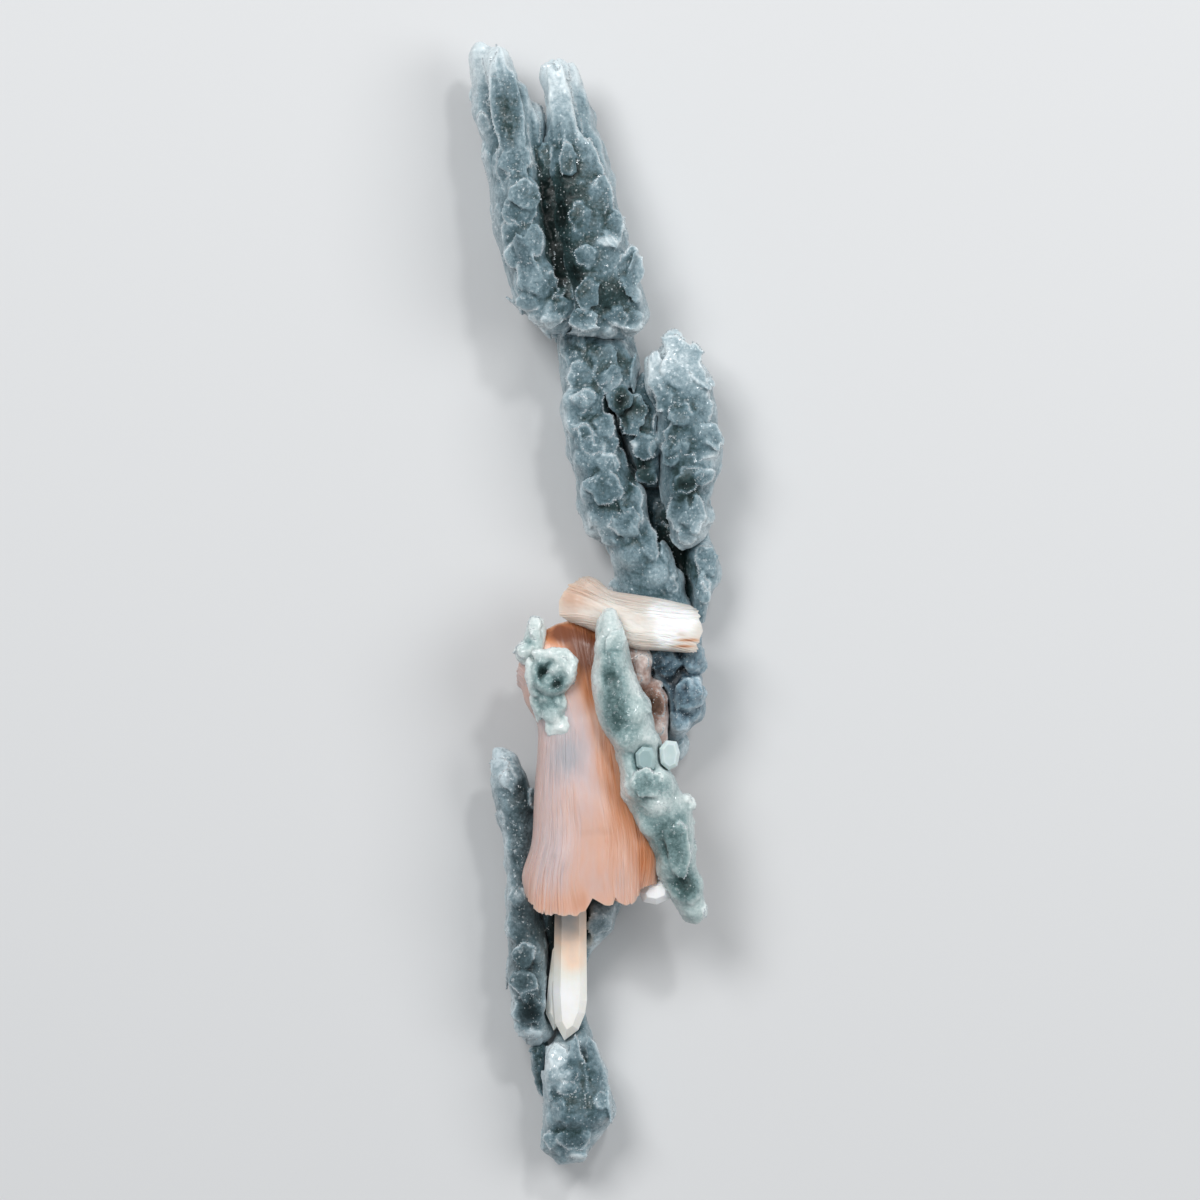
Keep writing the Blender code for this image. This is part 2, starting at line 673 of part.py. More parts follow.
@dataclass
class Sheaf:
    """A stilbite sheaf: blades that spread from a waist, with ragged free ends."""

    limb: Limb
    blades: int
    rows: int
    faces: int
    groove: float
    ragged: float
    seed: int
    colour: tuple
    end_edges: tuple = ()


STILBITE_FAN = Sheaf(
    limb=Limb(
        first_edge=[
            (-10.2, -46.6), (-11.4, -42.5), (-11.5, -40.4), (-11.0, -38.4), (-9.9, -35.0), (-9.6, -32.5),
            (-9.1, -27.0), (-8.6, -22.0), (-8.7, -19.0), (-9.0, -16.7), (-10.8, -14.8), (-12.4, -12.6),
            (-12.6, -10.2), (-11.2, -8.2), (-9.0, -6.0), (-7.6, -4.4), (-5.8, -3.2),
        ],
        second_edge=[
            (7.4, -46.6), (9.4, -42.5), (9.9, -39.0), (9.0, -35.0), (7.4, -30.0), (6.0, -25.0),
            (5.5, -20.0), (5.0, -14.0), (3.6, -8.0), (1.4, -4.8), (-0.6, -3.2),
        ],
        middle=[(-47, 13), (-30, 13.6), (-18, 14), (-3, 13.4)],
        half_depth=[(-47, 5.4), (-30, 4.8), (-18, 4), (-9, 4), (-3.2, 1.4)],
        fullness=SHEAF_FULLNESS,
    ),
    blades=13,
    rows=9,
    faces=1250,
    groove=0.55,
    ragged=0.8,
    seed=31,
    colour=(0.70, 0.38, 0.26),
    end_edges=(
        [
            (-11.2, -44.4), (-9.6, -46.2), (-8.5, -46.7), (-5.0, -46.9), (-1.5, -46.6), (0.0, -44.6),
            (4.1, -46.0), (6.0, -44.8), (9.4, -42.4),
        ],
        [(-8.0, -4.6), (-5.7, -3.2), (-4.0, -3.1), (0.4, -4.6)],
    ),
)

BOW_TIE = Sheaf(
    limb=Limb(
        first_edge=[
            (-5.6, -1.4), (-4.5, -2.8), (-2.0, -3.8), (0.4, -4.8), (3.0, -5.4), (5.2, -7.2), (7.6, -7.1),
            (10.0, -7.4), (12.0, -7.7), (15.9, -7.6),
        ],
        second_edge=[
            (-5.6, 0.2), (-4.3, 2.0), (-2.5, 3.3), (-1.2, 3.8), (0.0, 3.6), (2.2, 2.2), (4.0, 1.0),
            (8.0, 1.1), (10.0, 0.4), (12.0, 0.0), (14.5, -0.7), (15.9, -1.5),
        ],
        middle=[(-6, 14.4), (2, 14), (16, 14.6)],
        half_depth=[(-5.6, 2.4), (-3, 3.2), (2, 2.2), (8, 3), (15.9, 2.8)],
        along=0,
        fullness=SHEAF_FULLNESS,
    ),
    blades=9,
    rows=7,
    faces=520,
    groove=0.35,
    ragged=0.5,
    seed=32,
    colour=(0.85, 0.66, 0.55),
    end_edges=(
        [(-4.6, -2.6), (-5.7, -1.4), (-5.4, 0.4), (-4.2, 2.0)],
        [(15.1, -7.6), (15.6, -6.0), (16.1, -4.4), (15.7, -3.0), (15.8, -1.6)],
    ),
)


@dataclass
class Crystal:
    """A flat-faced crystal: an outline with a back and a front height and chamfered front edges."""

    outline: list
    back: float
    front: float
    chamfer: float
    colour: tuple


CREAM_BLADE = [
    Crystal(
        outline=[
            (-6.0, -44.0), (-6.2, -53.0), (-6.3, -59.0), (-6.0, -63.4), (-4.6, -66.0), (-2.5, -64.4),
            (-1.5, -62.0), (-1.2, -60.0), (-1.3, -47.0), (-1.5, -44.0),
        ],
        back=6.4,
        front=10.6,
        chamfer=1.1,
        colour=(0.86, 0.70, 0.52),
    ),
    Crystal(
        outline=[(-5.0, -50.0), (-6.4, -52.5), (-7.0, -57.0), (-7.4, -62.0), (-6.2, -64.6), (-5.0, -63.0)],
        back=5.6,
        front=8.8,
        chamfer=0.7,
        colour=(0.86, 0.70, 0.52),
    ),
]

WHITE_CRYSTAL = [
    Crystal(
        outline=[
            (6.6, -43.6), (7.6, -42.0), (10.4, -41.6), (11.4, -43.0), (11.2, -44.6), (9.2, -45.4),
            (7.2, -45.0),
        ],
        back=8.6,
        front=12.8,
        chamfer=0.9,
        colour=(0.85, 0.85, 0.84),
    )
]

HEULANDITE_FRONT = [
    Crystal(
        outline=[
            (6.2, -24.6), (6.0, -22.6), (7.0, -21.6), (8.5, -21.8), (9.1, -23.2), (8.8, -25.0),
            (7.4, -25.4),
        ],
        back=20.6,
        front=23.0,
        chamfer=0.45,
        colour=(0.50, 0.56, 0.53),
    )
]

HEULANDITE_SIDE = [
    Crystal(
        outline=[
            (9.8, -24.2), (9.6, -21.9), (10.6, -20.7), (12.2, -20.9), (12.7, -22.6), (12.3, -24.6),
            (11.0, -25.2),
        ],
        back=17.2,
        front=20.6,
        chamfer=0.5,
        colour=(0.50, 0.56, 0.53),
    )
]

SIDE_CRYSTALS = [
    Crystal(
        outline=[(3.6, -6.4), (7.4, -7.2), (8.4, -8.4), (8.3, -11.6), (7.2, -12.8), (4.4, -12.4)],
        back=8.0,
        front=15.4,
        chamfer=0.8,
        colour=(0.45, 0.28, 0.22),
    ),
    Crystal(
        outline=[
            (5.4, -11.6), (9.4, -12.4), (10.6, -14.0), (10.8, -18.4), (10.4, -21.2), (8.4, -21.8),
            (6.4, -17.6),
        ],
        back=8.4,
        front=14.2,
        chamfer=0.8,
        colour=(0.45, 0.28, 0.22),
    ),
]


# Every piece, from front to back: each is cut back from those before it.
PIECES = {
    "heulandite_plate_front": HEULANDITE_FRONT,
    "heulandite_plate_side": HEULANDITE_SIDE,
    "cream_blade": CREAM_BLADE,
    "white_crystal": WHITE_CRYSTAL,
    "side_crystals": SIDE_CRYSTALS,
    "front_finger": FRONT_FINGER,
    "hollow_ring": HOLLOW_RING,
    "small_white_finger": SMALL_WHITE_FINGER,
    "stilbite_bow_tie": BOW_TIE,
    "stilbite_fan": STILBITE_FAN,
    "upper_left_finger": UPPER_LEFT,
    "upper_right_finger": UPPER_RIGHT,
    "side_balls": SIDE_BALLS,
    "right_lobe": RIGHT_LOBE,
    "lower_left_finger": LOWER_LEFT_FINGER,
    "foot_cluster": FOOT_CLUSTER,
    "main_stem": MAIN_STEM,
    "inner_lobe": INNER_LOBE,
    "back_stub": BACK_STUB,
    "right_lower_blade": RIGHT_LOWER_BLADE,
    "foot_back_finger": FOOT_BACK_FINGER,
    "back_stem": BACK_STEM,
}


def build_piece(name, shape, collection):
    """Object for one entry of the table of pieces."""
    if isinstance(shape, Growth):
        return build_growth(name, shape, collection)
    if isinstance(shape, Sheaf):
        return build_sheaf(name, shape, collection)
    return build_crystal(name, shape, collection)


def build_sheaf(name, sheaf, collection):
    """Loft a sheaf whose skin is grooved between its blades and ragged at its ends."""
    limb = sheaf.limb
    low, high = limb.span()
    dice = random.Random(sheaf.seed)
    points = 4 * sheaf.blades
    low_end, high_end = (
        [(point[1 - limb.along], point[limb.along]) for point in edge] for edge in sheaf.end_edges
    )
    slips = [dice.uniform(-1, 1) * sheaf.ragged for _ in range(points // 2)]
    rings = []
    for row in range(sheaf.rows + 1):
        share = row / sheaf.rows
        ring = []
        for index in range(points):
            angle = 2 * math.pi * index / points
            scale = 1 - (index % 2) * sheaf.groove / between(limb.half_depth, low + share * (high - low))
            across = limb.surface(low + share * (high - low), angle)[1 - limb.along]
            start = between(low_end, across) + slips[index // 2] * 0.8
            end = between(high_end, across) + slips[index // 2] * 0.5
            station = start + share * (end - start)
            ring.append(limb.surface(station, angle, scale))
        rings.append(ring)
    bm = bmesh.new()
    loft(bm, [shrunk(rings[0])] + rings + [shrunk(rings[-1])])
    bmesh.ops.triangulate(bm, faces=bm.faces)
    made = new_object(name, to_mesh(bm, name), collection)
    made.data.materials.append(material(name, sheaf.colour, 0.3))
    return made


def shrunk(ring, share=0.45):
    """The same ring drawn in towards its middle, for a sheaf's dished end."""
    middle = sum(ring, Vector()) / len(ring)
    return [middle + (point - middle) * share for point in ring]


def build_crystal(name, crystals, collection):
    """Flat-faced crystals that have grown into each other, joined into one solid."""
    made = []
    for crystal in crystals:
        bm = bmesh.new()
        base = bm.faces.new([bm.verts.new((x, y, crystal.back)) for x, y in crystal.outline])
        raised = bmesh.ops.extrude_face_region(bm, geom=[base])["geom"]
        top = [item for item in raised if isinstance(item, bmesh.types.BMVert)]
        bmesh.ops.translate(bm, verts=top, vec=(0, 0, crystal.front - crystal.back))
        rim = [item for item in raised if isinstance(item, bmesh.types.BMEdge)]
        bmesh.ops.bevel(
            bm, geom=rim, offset=crystal.chamfer, segments=1, profile=0.5, affect="EDGES", material=-1
        )
        made.append(new_object(name, to_mesh(bm, name), collection))
    first = made[0]
    for other in made[1:]:
        join = first.modifiers.new("join", "BOOLEAN")
        join.operation = "UNION"
        join.object = other
        bake(first)
        bpy.data.objects.remove(other)
    first.data.materials.append(material(name, crystals[0].colour, 0.25))
    return first


def ellipsoid(name, centre, half_sizes, collection):
    """Ball stretched to three half sizes."""
    bm = bmesh.new()
    place = Matrix.Translation(centre) @ Matrix.Diagonal((*half_sizes, 1))
    bmesh.ops.create_icosphere(bm, subdivisions=3, radius=1, matrix=place)
    return new_object(name, to_mesh(bm, name), collection)


def cut(obj, cutter, operation="DIFFERENCE"):
    """Boolean of one object with another, baked."""
    modifier = obj.modifiers.new("cut", "BOOLEAN")
    modifier.operation = operation
    modifier.solver = "EXACT"
    modifier.object = cutter
    bake(obj)


def hollow_out_ring(ring, cutters):
    """Open the ring's hollow and stand its pale core in it."""
    hollow = ellipsoid("ring_hollow", *RING_HOLLOW, cutters)
    core = ellipsoid("ring_core", *RING_CORE, cutters)
    cut(ring, hollow)
    cut(ring, core, "UNION")


def search_tree(obj):
    """Tree of an object's faces for touch tests."""
    bm = bmesh.new()
    bm.from_mesh(obj.data)
    tree = BVHTree.FromBMesh(bm)
    bm.free()
    return tree


def swollen(obj, gap, cutters):
    """Cutter of an object's shape, larger by a gap all round and free of folds."""
    made = new_object(f"around_{obj.name}", obj.data.copy(), cutters)
    swell = made.modifiers.new("swell", "DISPLACE")
    swell.strength = gap * MM
    swell.mid_level = 0
    bake(made)
    fuse(made)
    return made


def build_ground(cutters):
    """Block under Z = 0 that gives the lowest bulges a flat to rest on."""
    bm = bmesh.new()
    place = Matrix.Translation((0, 0, -GROUND_DEPTH / 2))
    size = Matrix.Diagonal((GROUND_SIZE, GROUND_SIZE, GROUND_DEPTH, 1))
    bmesh.ops.create_cube(bm, size=1, matrix=place @ size)
    return new_object("ground", to_mesh(bm, "ground"), cutters)


def hide(obj):
    """Mark a cutter so that it stays out of renders."""
    obj.hide_render = True
    obj.display_type = "WIRE"


def main():
    for obj in list(bpy.data.objects):
        bpy.data.objects.remove(obj)
    parts = bpy.data.collections.new(OBJECT_NAME)
    cutters = bpy.data.collections.new("cutters")
    for collection in (parts, cutters):
        bpy.context.scene.collection.children.link(collection)
    cutters.hide_render = True

    made = [build_piece(name, shape, parts) for name, shape in PIECES.items()]
    by_name = {obj.name: obj for obj in made}
    hollow_out_ring(by_name["hollow_ring"], cutters)

    ground = build_ground(cutters)
    cleared = []
    for obj in made:
        for cutter, tree in cleared:
            if search_tree(obj).overlap(tree):
                cut(obj, cutter)
        keep_largest_body(obj)
        if not isinstance(PIECES[obj.name], list):
            fuse(obj)
        cutter = swollen(obj, CRYSTAL_GAP if isinstance(PIECES[obj.name], list) else JOINT_GAP, cutters)
        cleared.append((cutter, search_tree(cutter)))
    for obj in made:
        if not isinstance(PIECES[obj.name], list):
            thin_out(obj, PIECES[obj.name].faces)
        if min(point.co.z for point in obj.data.vertices) < 0:
            cut(obj, ground)
    for cutter in cutters.objects:
        hide(cutter)


main()
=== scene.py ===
"""Looks of a chalcedony spray that carries stilbite sheaves and small heulandite crystals.

The spray lies on its back on a pale floor and the camera looks straight down on it. Shapes are
made in millimetres and turned into metres at the end. Places are (x, y) in the frame of the part,
as seen from +Z.
"""

from __future__ import annotations

import logging
import math
import random
from collections.abc import Callable
from dataclasses import dataclass, field
from enum import Enum

import bmesh
import bpy
import numpy as np
from mathutils import Matrix, Vector, noise
from mathutils.bvhtree import BVHTree
from mathutils.kdtree import KDTree


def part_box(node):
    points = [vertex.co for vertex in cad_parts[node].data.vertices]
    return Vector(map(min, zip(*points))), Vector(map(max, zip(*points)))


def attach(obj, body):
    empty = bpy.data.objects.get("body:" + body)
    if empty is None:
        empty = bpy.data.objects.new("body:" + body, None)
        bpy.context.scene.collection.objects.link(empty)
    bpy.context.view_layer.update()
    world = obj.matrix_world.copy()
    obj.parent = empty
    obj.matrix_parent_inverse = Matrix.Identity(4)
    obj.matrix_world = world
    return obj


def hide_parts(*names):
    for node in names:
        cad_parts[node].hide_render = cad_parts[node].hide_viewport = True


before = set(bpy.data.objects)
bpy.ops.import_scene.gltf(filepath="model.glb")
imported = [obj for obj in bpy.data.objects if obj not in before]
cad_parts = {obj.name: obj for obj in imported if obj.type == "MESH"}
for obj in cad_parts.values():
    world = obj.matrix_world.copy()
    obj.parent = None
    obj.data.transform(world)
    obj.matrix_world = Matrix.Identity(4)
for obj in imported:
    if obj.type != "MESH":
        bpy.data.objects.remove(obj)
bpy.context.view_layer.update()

log = logging.getLogger("spray")

BODY = "root"
MM = 0.001
MERGE_MM = 0.001

# Fineness of the chalcedony's skin, the coarser grain that its solid is softened at, and the rounds
# of settling before and after its scales are laid.
SKIN_GRAIN = 0.23
SOFT_GRAIN = 0.4
SOFTENING = 16
SKIN_SMOOTHING = 2

# Quartz points that draw a scale's free rim: spacing in millimetres, and half the arc they cover.
RIM_STEP = 0.2
RIM_HALF_ANGLE = 80

# Half width of the pale line along a rim, in millimetres.
RIM_WIDTH = 0.3

# How far the softened solid is swollen to keep the specimen's outline, and how much painted light pales its steep
# flanks, standing in for light through thin translucent margins seen from above.
SWELL = 0.22
PAINTED_FLANK_LIGHT = 0.42

# A ray from this height finds the front skin under an (x, y) place.
ABOVE = 60.0

# Relief that counts as a full rim, or as a dip deep enough for the full painted shade, in millimetres.
RIM_HEIGHT = 0.12
HOLLOW_DEPTH = 0.5


class Slot(Enum):
    """Material slots of the record."""

    CHALCEDONY = "chalcedony"
    PALE_CHALCEDONY = "pale_chalcedony"
    DARK_CHALCEDONY = "dark_chalcedony"
    PINK_STILBITE = "pink_stilbite"
    PALE_STILBITE = "pale_stilbite"
    CREAM_STILBITE = "cream_stilbite"
    BROWN_STILBITE = "brown_stilbite"
    WHITE_HEULANDITE = "white_heulandite"
    HEULANDITE = "heulandite"


def linear(colour: str) -> tuple[float, float, float, float]:
    """Turn an sRGB hex value into a linear colour.

    Args:
        colour: Six hex digits, with or without a leading hash.

    Returns:
        Red, green, blue and an alpha of 1, in linear light.
    """
    digits = colour.lstrip("#")
    shares = [int(digits[place : place + 2], 16) / 255 for place in (0, 2, 4)]
    light = [share / 12.92 if share <= 0.04045 else ((share + 0.055) / 1.055) ** 2.4 for share in shares]
    return light[0], light[1], light[2], 1.0


def add_node(
    tree: bpy.types.NodeTree, kind: str, links: dict | None = None, values: dict | None = None, **settings
) -> bpy.types.Node:
    """Add a node with its settings and links.

    Args:
        tree: Node tree that gets the node.
        kind: Type of the node.
        links: Output sockets by the input they feed, named or numbered.
        values: Constant values by the input that holds them, named or numbered.
        **settings: Properties of the node.

    Returns:
        The new node.
    """
    made = tree.nodes.new(kind)
    for name, value in settings.items():
        setattr(made, name, value)
    for socket, value in (values or {}).items():
        made.inputs[socket].default_value = value
    for socket, source in (links or {}).items():
        tree.links.new(source, made.inputs[socket])
    return made


def add_ramp(tree: bpy.types.NodeTree, factor: bpy.types.NodeSocket, stops: list) -> bpy.types.NodeSocket:
    """Add a colour ramp.

    Args:
        tree: Node tree that gets the ramp.
        factor: Output that drives the ramp.
        stops: Pairs of a position and an sRGB hex value.

    Returns:
        The ramp's colour output.
    """
    ramp = add_node(tree, "ShaderNodeValToRGB", links={0: factor})
    elements = ramp.color_ramp.elements
    while len(elements) < len(stops):
        elements.new(0.5)
    for element, (position, colour) in zip(elements, stops):
        element.position = position
        element.color = linear(colour)
    return ramp.outputs[0]


@dataclass(frozen=True)
class ChalcedonyFinish:
    """Chalcedony: fibrous quartz grown as botryoidal skin, dusted with fine drusy quartz.

    The eye sees a cloudy blue-grey depth, pale where the skin is raised and, as painted light, on its steep flanks,
    darker where painted shade lies in hollows and cracks, with a frosted bloom at grazing angles and many pinpoint
    glints from the drusy faces, some of them painted into the colour.

    Attributes:
        name: Name of the material.
        shades: Colours from the darkest, which painted shade gives to hollows and cracks, to the palest rim.
        level: Place of a plain spot of skin along the shades.
        patch_mm: Size of the cloudy patches.
        grain_mm: Size of the speckle.
        facet_mm: Size of a drusy face, drawn a little coarser than the real 0.1 to 0.3 mm.
        speck_and_glint_mm: Spacing of the brightest points, pale quartz grains given painted glints.
        specks_and_glints: How strongly they show.
        gloss: Strength of the skin's own reflection, weak because its frost scatters it.
        bloom: Strength of the frosted bloom, weaker in dark hollows.
        glint: Strength of the glints, weaker in dark hollows.
    """

    name: str
    shades: tuple[str, ...]
    level: float = 0.42
    patch_mm: float = 5.0
    grain_mm: float = 0.5
    facet_mm: float = 0.42
    speck_and_glint_mm: float = 0.42
    specks_and_glints: float = 0.36
    roughness: float = 0.36
    gloss: float = 0.2
    bloom: float = 0.5
    glint: float = 0.9

    def build(self) -> bpy.types.Material:
        """Make the material."""
        made = bpy.data.materials.new(self.name)
        made.use_nodes = True
        tree = made.node_tree
        shader = tree.nodes["Principled BSDF"]
        place = add_node(tree, "ShaderNodeTexCoord").outputs["Object"]
        in_mm = add_node(
            tree, "ShaderNodeMapping", links={"Vector": place}, values={"Scale": (1 / MM, 1 / MM, 1 / MM)}
        ).outputs[0]
        patches = add_node(
            tree,
            "ShaderNodeTexNoise",
            links={"Vector": in_mm},
            values={"Scale": 1 / self.patch_mm, "Detail": 4.0, "Roughness": 0.6},
        ).outputs[0]
        grain = add_node(
            tree,
            "ShaderNodeTexNoise",
            links={"Vector": in_mm},
            values={"Scale": 1 / self.grain_mm, "Detail": 3.0, "Roughness": 0.7},
        ).outputs[0]
        level = add_node(
            tree,
            "ShaderNodeMath",
            links={0: patches},
            values={1: 0.55, 2: self.level - 0.275},
            operation="MULTIPLY_ADD",
        ).outputs[0]
        level = add_node(
            tree, "ShaderNodeMath", links={0: grain, 2: level}, values={1: 0.5}, operation="MULTIPLY_ADD"
        ).outputs[0]
        # The hollow attribute is painted shade that darkens dips and creases; the tone attribute holds the stone's own
        # tones together with painted shade in cracks and painted light on steep flanks.
        for attribute, weight in (("tone", 0.5), ("rim", 0.36), ("hollow", -0.4)):
            painted = add_node(tree, "ShaderNodeAttribute", attribute_name=attribute).outputs["Fac"]
            level = add_node(
                tree, "ShaderNodeMath", links={0: painted, 2: level}, values={1: weight}, operation="MULTIPLY_ADD"
            ).outputs[0]
        level = add_node(tree, "ShaderNodeMath", links={0: level}, values={1: 0.25}, operation="SUBTRACT").outputs[0]
        spread = [0.0, 0.28, 0.5, 0.74, 1.0]
        colour = add_ramp(tree, level, list(zip(spread, self.shades)))
        # Bright points over the colour: partly pale quartz grains, partly painted glints of their faces.
        colour = self.add_specks_and_glints(tree, in_mm, colour)
        lit = add_node(
            tree, "ShaderNodeMath", links={0: level}, values={1: self.glint}, operation="MULTIPLY", use_clamp=True
        ).outputs[0]
        tree.links.new(lit, shader.inputs["Coat Weight"])
        haze = add_node(
            tree, "ShaderNodeMath", links={0: level}, values={1: self.bloom}, operation="MULTIPLY", use_clamp=True
        ).outputs[0]
        tree.links.new(haze, shader.inputs["Sheen Weight"])
        tree.links.new(colour, shader.inputs["Base Color"])
        bump = add_node(
            tree,
            "ShaderNodeBump",
            links={"Height": grain},
            values={"Strength": 0.5, "Distance": 0.12 * MM},
        ).outputs[0]
        tree.links.new(bump, shader.inputs["Normal"])
        tree.links.new(facet_normal(tree, in_mm, self.facet_mm, 0.9), shader.inputs["Coat Normal"])
        shader.inputs["Roughness"].default_value = self.roughness
        shader.inputs["IOR"].default_value = 1.54
        shader.inputs["Specular IOR Level"].default_value = self.gloss
        shader.inputs["Subsurface Weight"].default_value = 0.35
        shader.inputs["Subsurface Radius"].default_value = (1.0, 1.03, 1.06)
        shader.inputs["Subsurface Scale"].default_value = 0.9 * MM
        shader.inputs["Sheen Roughness"].default_value = 0.45
        shader.inputs["Sheen Tint"].default_value = linear("#d8e4ea")
        shader.inputs["Coat Roughness"].default_value = 0.12
        return made

    def add_specks_and_glints(
        self, tree: bpy.types.NodeTree, place: bpy.types.NodeSocket, colour: bpy.types.NodeSocket
    ) -> bpy.types.NodeSocket:
        """Lay bright points of quartz over a colour, partly the grains' own pale colour and partly painted glints of
        their faces.

        Args:
            tree: Node tree that gets the nodes.
            place: Coordinates in millimetres.
            colour: Output with the colour below.

        Returns:
            Output with the specked colour.
        """
        cells = add_node(
            tree, "ShaderNodeTexVoronoi", links={"Vector": place}, values={"Scale": 1 / self.speck_and_glint_mm}
        )
        drawn = add_node(tree, "ShaderNodeSeparateColor", links={0: cells.outputs["Color"]}).outputs[0]
        reach = add_node(
            tree, "ShaderNodeMath", links={0: drawn}, values={1: 0.75, 2: -0.35}, operation="MULTIPLY_ADD"
        ).outputs[0]
        inside = add_node(
            tree, "ShaderNodeMath", links={0: reach, 1: cells.outputs["Distance"]}, operation="SUBTRACT"
        ).outputs[0]
        share = add_node(
            tree, "ShaderNodeMath", links={0: inside}, values={1: self.specks_and_glints * 6}, operation="MULTIPLY", use_clamp=True
        ).outputs[0]
        held = add_node(
            tree, "ShaderNodeMath", links={0: share}, values={1: self.specks_and_glints}, operation="MINIMUM"
        ).outputs[0]
        # Their pale colour, partly the quartz's own and partly a painted glint.
        return add_node(
            tree,
            "ShaderNodeMix",
            links={0: held, 6: colour},
            values={7: linear("#e9f0f2")},
            data_type="RGBA",
        ).outputs[2]


def facet_normal(
    tree: bpy.types.NodeTree, place: bpy.types.NodeSocket, facet: float, tilt: float
) -> bpy.types.NodeSocket:
    """Normal that turns a little from one small crystal face to the next.

    Args:
        tree: Node tree that gets the nodes.
        place: Coordinates in millimetres.
        facet: Size of a face in millimetres.
        tilt: Strongest turn of a face.

    Returns:
        Output with the turned normal.
    """
    cells = add_node(
        tree, "ShaderNodeTexVoronoi", links={"Vector": place}, values={"Scale": 1 / facet}
    ).outputs["Color"]
    centred = add_node(
        tree, "ShaderNodeVectorMath", links={0: cells}, values={1: (0.5, 0.5, 0.5)}, operation="SUBTRACT"
    ).outputs[0]
    turned = add_node(
        tree, "ShaderNodeVectorMath", links={0: centred}, values={"Scale": tilt}, operation="SCALE"
    ).outputs[0]
    skin = add_node(tree, "ShaderNodeNewGeometry").outputs["Normal"]
    joined = add_node(tree, "ShaderNodeVectorMath", links={0: turned, 1: skin}, operation="ADD").outputs[0]
    return add_node(tree, "ShaderNodeVectorMath", links={0: joined}, operation="NORMALIZE").outputs[0]


@dataclass(frozen=True)
class StilbiteFinish:
    """Stilbite: a sheaf of thin cleavable plates with a pearly front.

    The eye sees rosy pink to orange drawn out in fine streaks along the plates, a soft pearly gloss, and pale
    translucent plate ends. Painted shade browns a lobe turned away from the light, and a painted highlight whitens a
    facet that would mirror it.

    Attributes:
        name: Name of the material.
        shades: Colours from bluish white through pink and peach to brown-orange.
        streaks: Count of colour streaks round the sheaf.
        contrast: Strength of the colour streaks.
        hairline: Strength of the finer lines between them.
    """

    name: str
    shades: tuple[str, ...]
    streaks: float = 110.0
    contrast: float = 0.26
    hairline: float = 0.24
    roughness: float = 0.34

    def build(self) -> bpy.types.Material:
        """Make the material."""
        made = bpy.data.materials.new(self.name)
        made.use_nodes = True
        tree = made.node_tree
        shader = tree.nodes["Principled BSDF"]
        along = add_node(tree, "ShaderNodeUVMap", uv_map="plates").outputs[0]
        drawn_out = add_node(
            tree, "ShaderNodeMapping", links={"Vector": along}, values={"Scale": (self.streaks, 3.0, 1.0)}
        ).outputs[0]
        streak = add_node(
            tree,
            "ShaderNodeTexNoise",
            links={"Vector": drawn_out},
            values={"Scale": 1.0, "Detail": 4.0, "Roughness": 0.65},
            noise_dimensions="2D",
        ).outputs[0]
        hair = add_node(
            tree, "ShaderNodeMapping", links={"Vector": along}, values={"Scale": (self.streaks * 2.2, 5.0, 1.0)}
        ).outputs[0]
        fine = add_node(
            tree,
            "ShaderNodeTexNoise",
            links={"Vector": hair},
            values={"Scale": 1.0, "Detail": 2.0, "Roughness": 0.6},
            noise_dimensions="2D",
        ).outputs[0]
        # The warmth attribute is the stilbite's colour together with painted light: shade on a lobe turned away, and a
        # highlight on a mirror-like facet.
        warmth_and_light = add_node(tree, "ShaderNodeAttribute", attribute_name="warmth_and_light").outputs["Fac"]
        level = add_node(
            tree, "ShaderNodeMath", links={0: streak, 2: warmth_and_light}, values={1: self.contrast}, operation="MULTIPLY_ADD"
        ).outputs[0]
        level = add_node(
            tree, "ShaderNodeMath", links={0: fine, 2: level}, values={1: self.hairline}, operation="MULTIPLY_ADD"
        ).outputs[0]
        middle = (self.contrast + self.hairline) / 2
        level = add_node(tree, "ShaderNodeMath", links={0: level}, values={1: middle}, operation="SUBTRACT").outputs[0]
        spread = [0.0, 0.25, 0.5, 0.75, 1.0]
        colour = add_ramp(tree, level, list(zip(spread, self.shades)))
        tree.links.new(colour, shader.inputs["Base Color"])
        height = add_node(tree, "ShaderNodeMath", links={0: streak, 1: fine}, operation="ADD").outputs[0]
        bump = add_node(
            tree, "ShaderNodeBump", links={"Height": height}, values={"Strength": 0.9, "Distance": 0.2 * MM}
        ).outputs[0]
        tree.links.new(bump, shader.inputs["Normal"])
        shader.inputs["Roughness"].default_value = self.roughness
        shader.inputs["IOR"].default_value = 1.5
        shader.inputs["Subsurface Weight"].default_value = 0.4
        shader.inputs["Subsurface Radius"].default_value = (1.4, 0.9, 0.7)
        shader.inputs["Subsurface Scale"].default_value = 1.0 * MM
        shader.inputs["Coat Weight"].default_value = 0.25
        shader.inputs["Coat Roughness"].default_value = 0.25
        return made


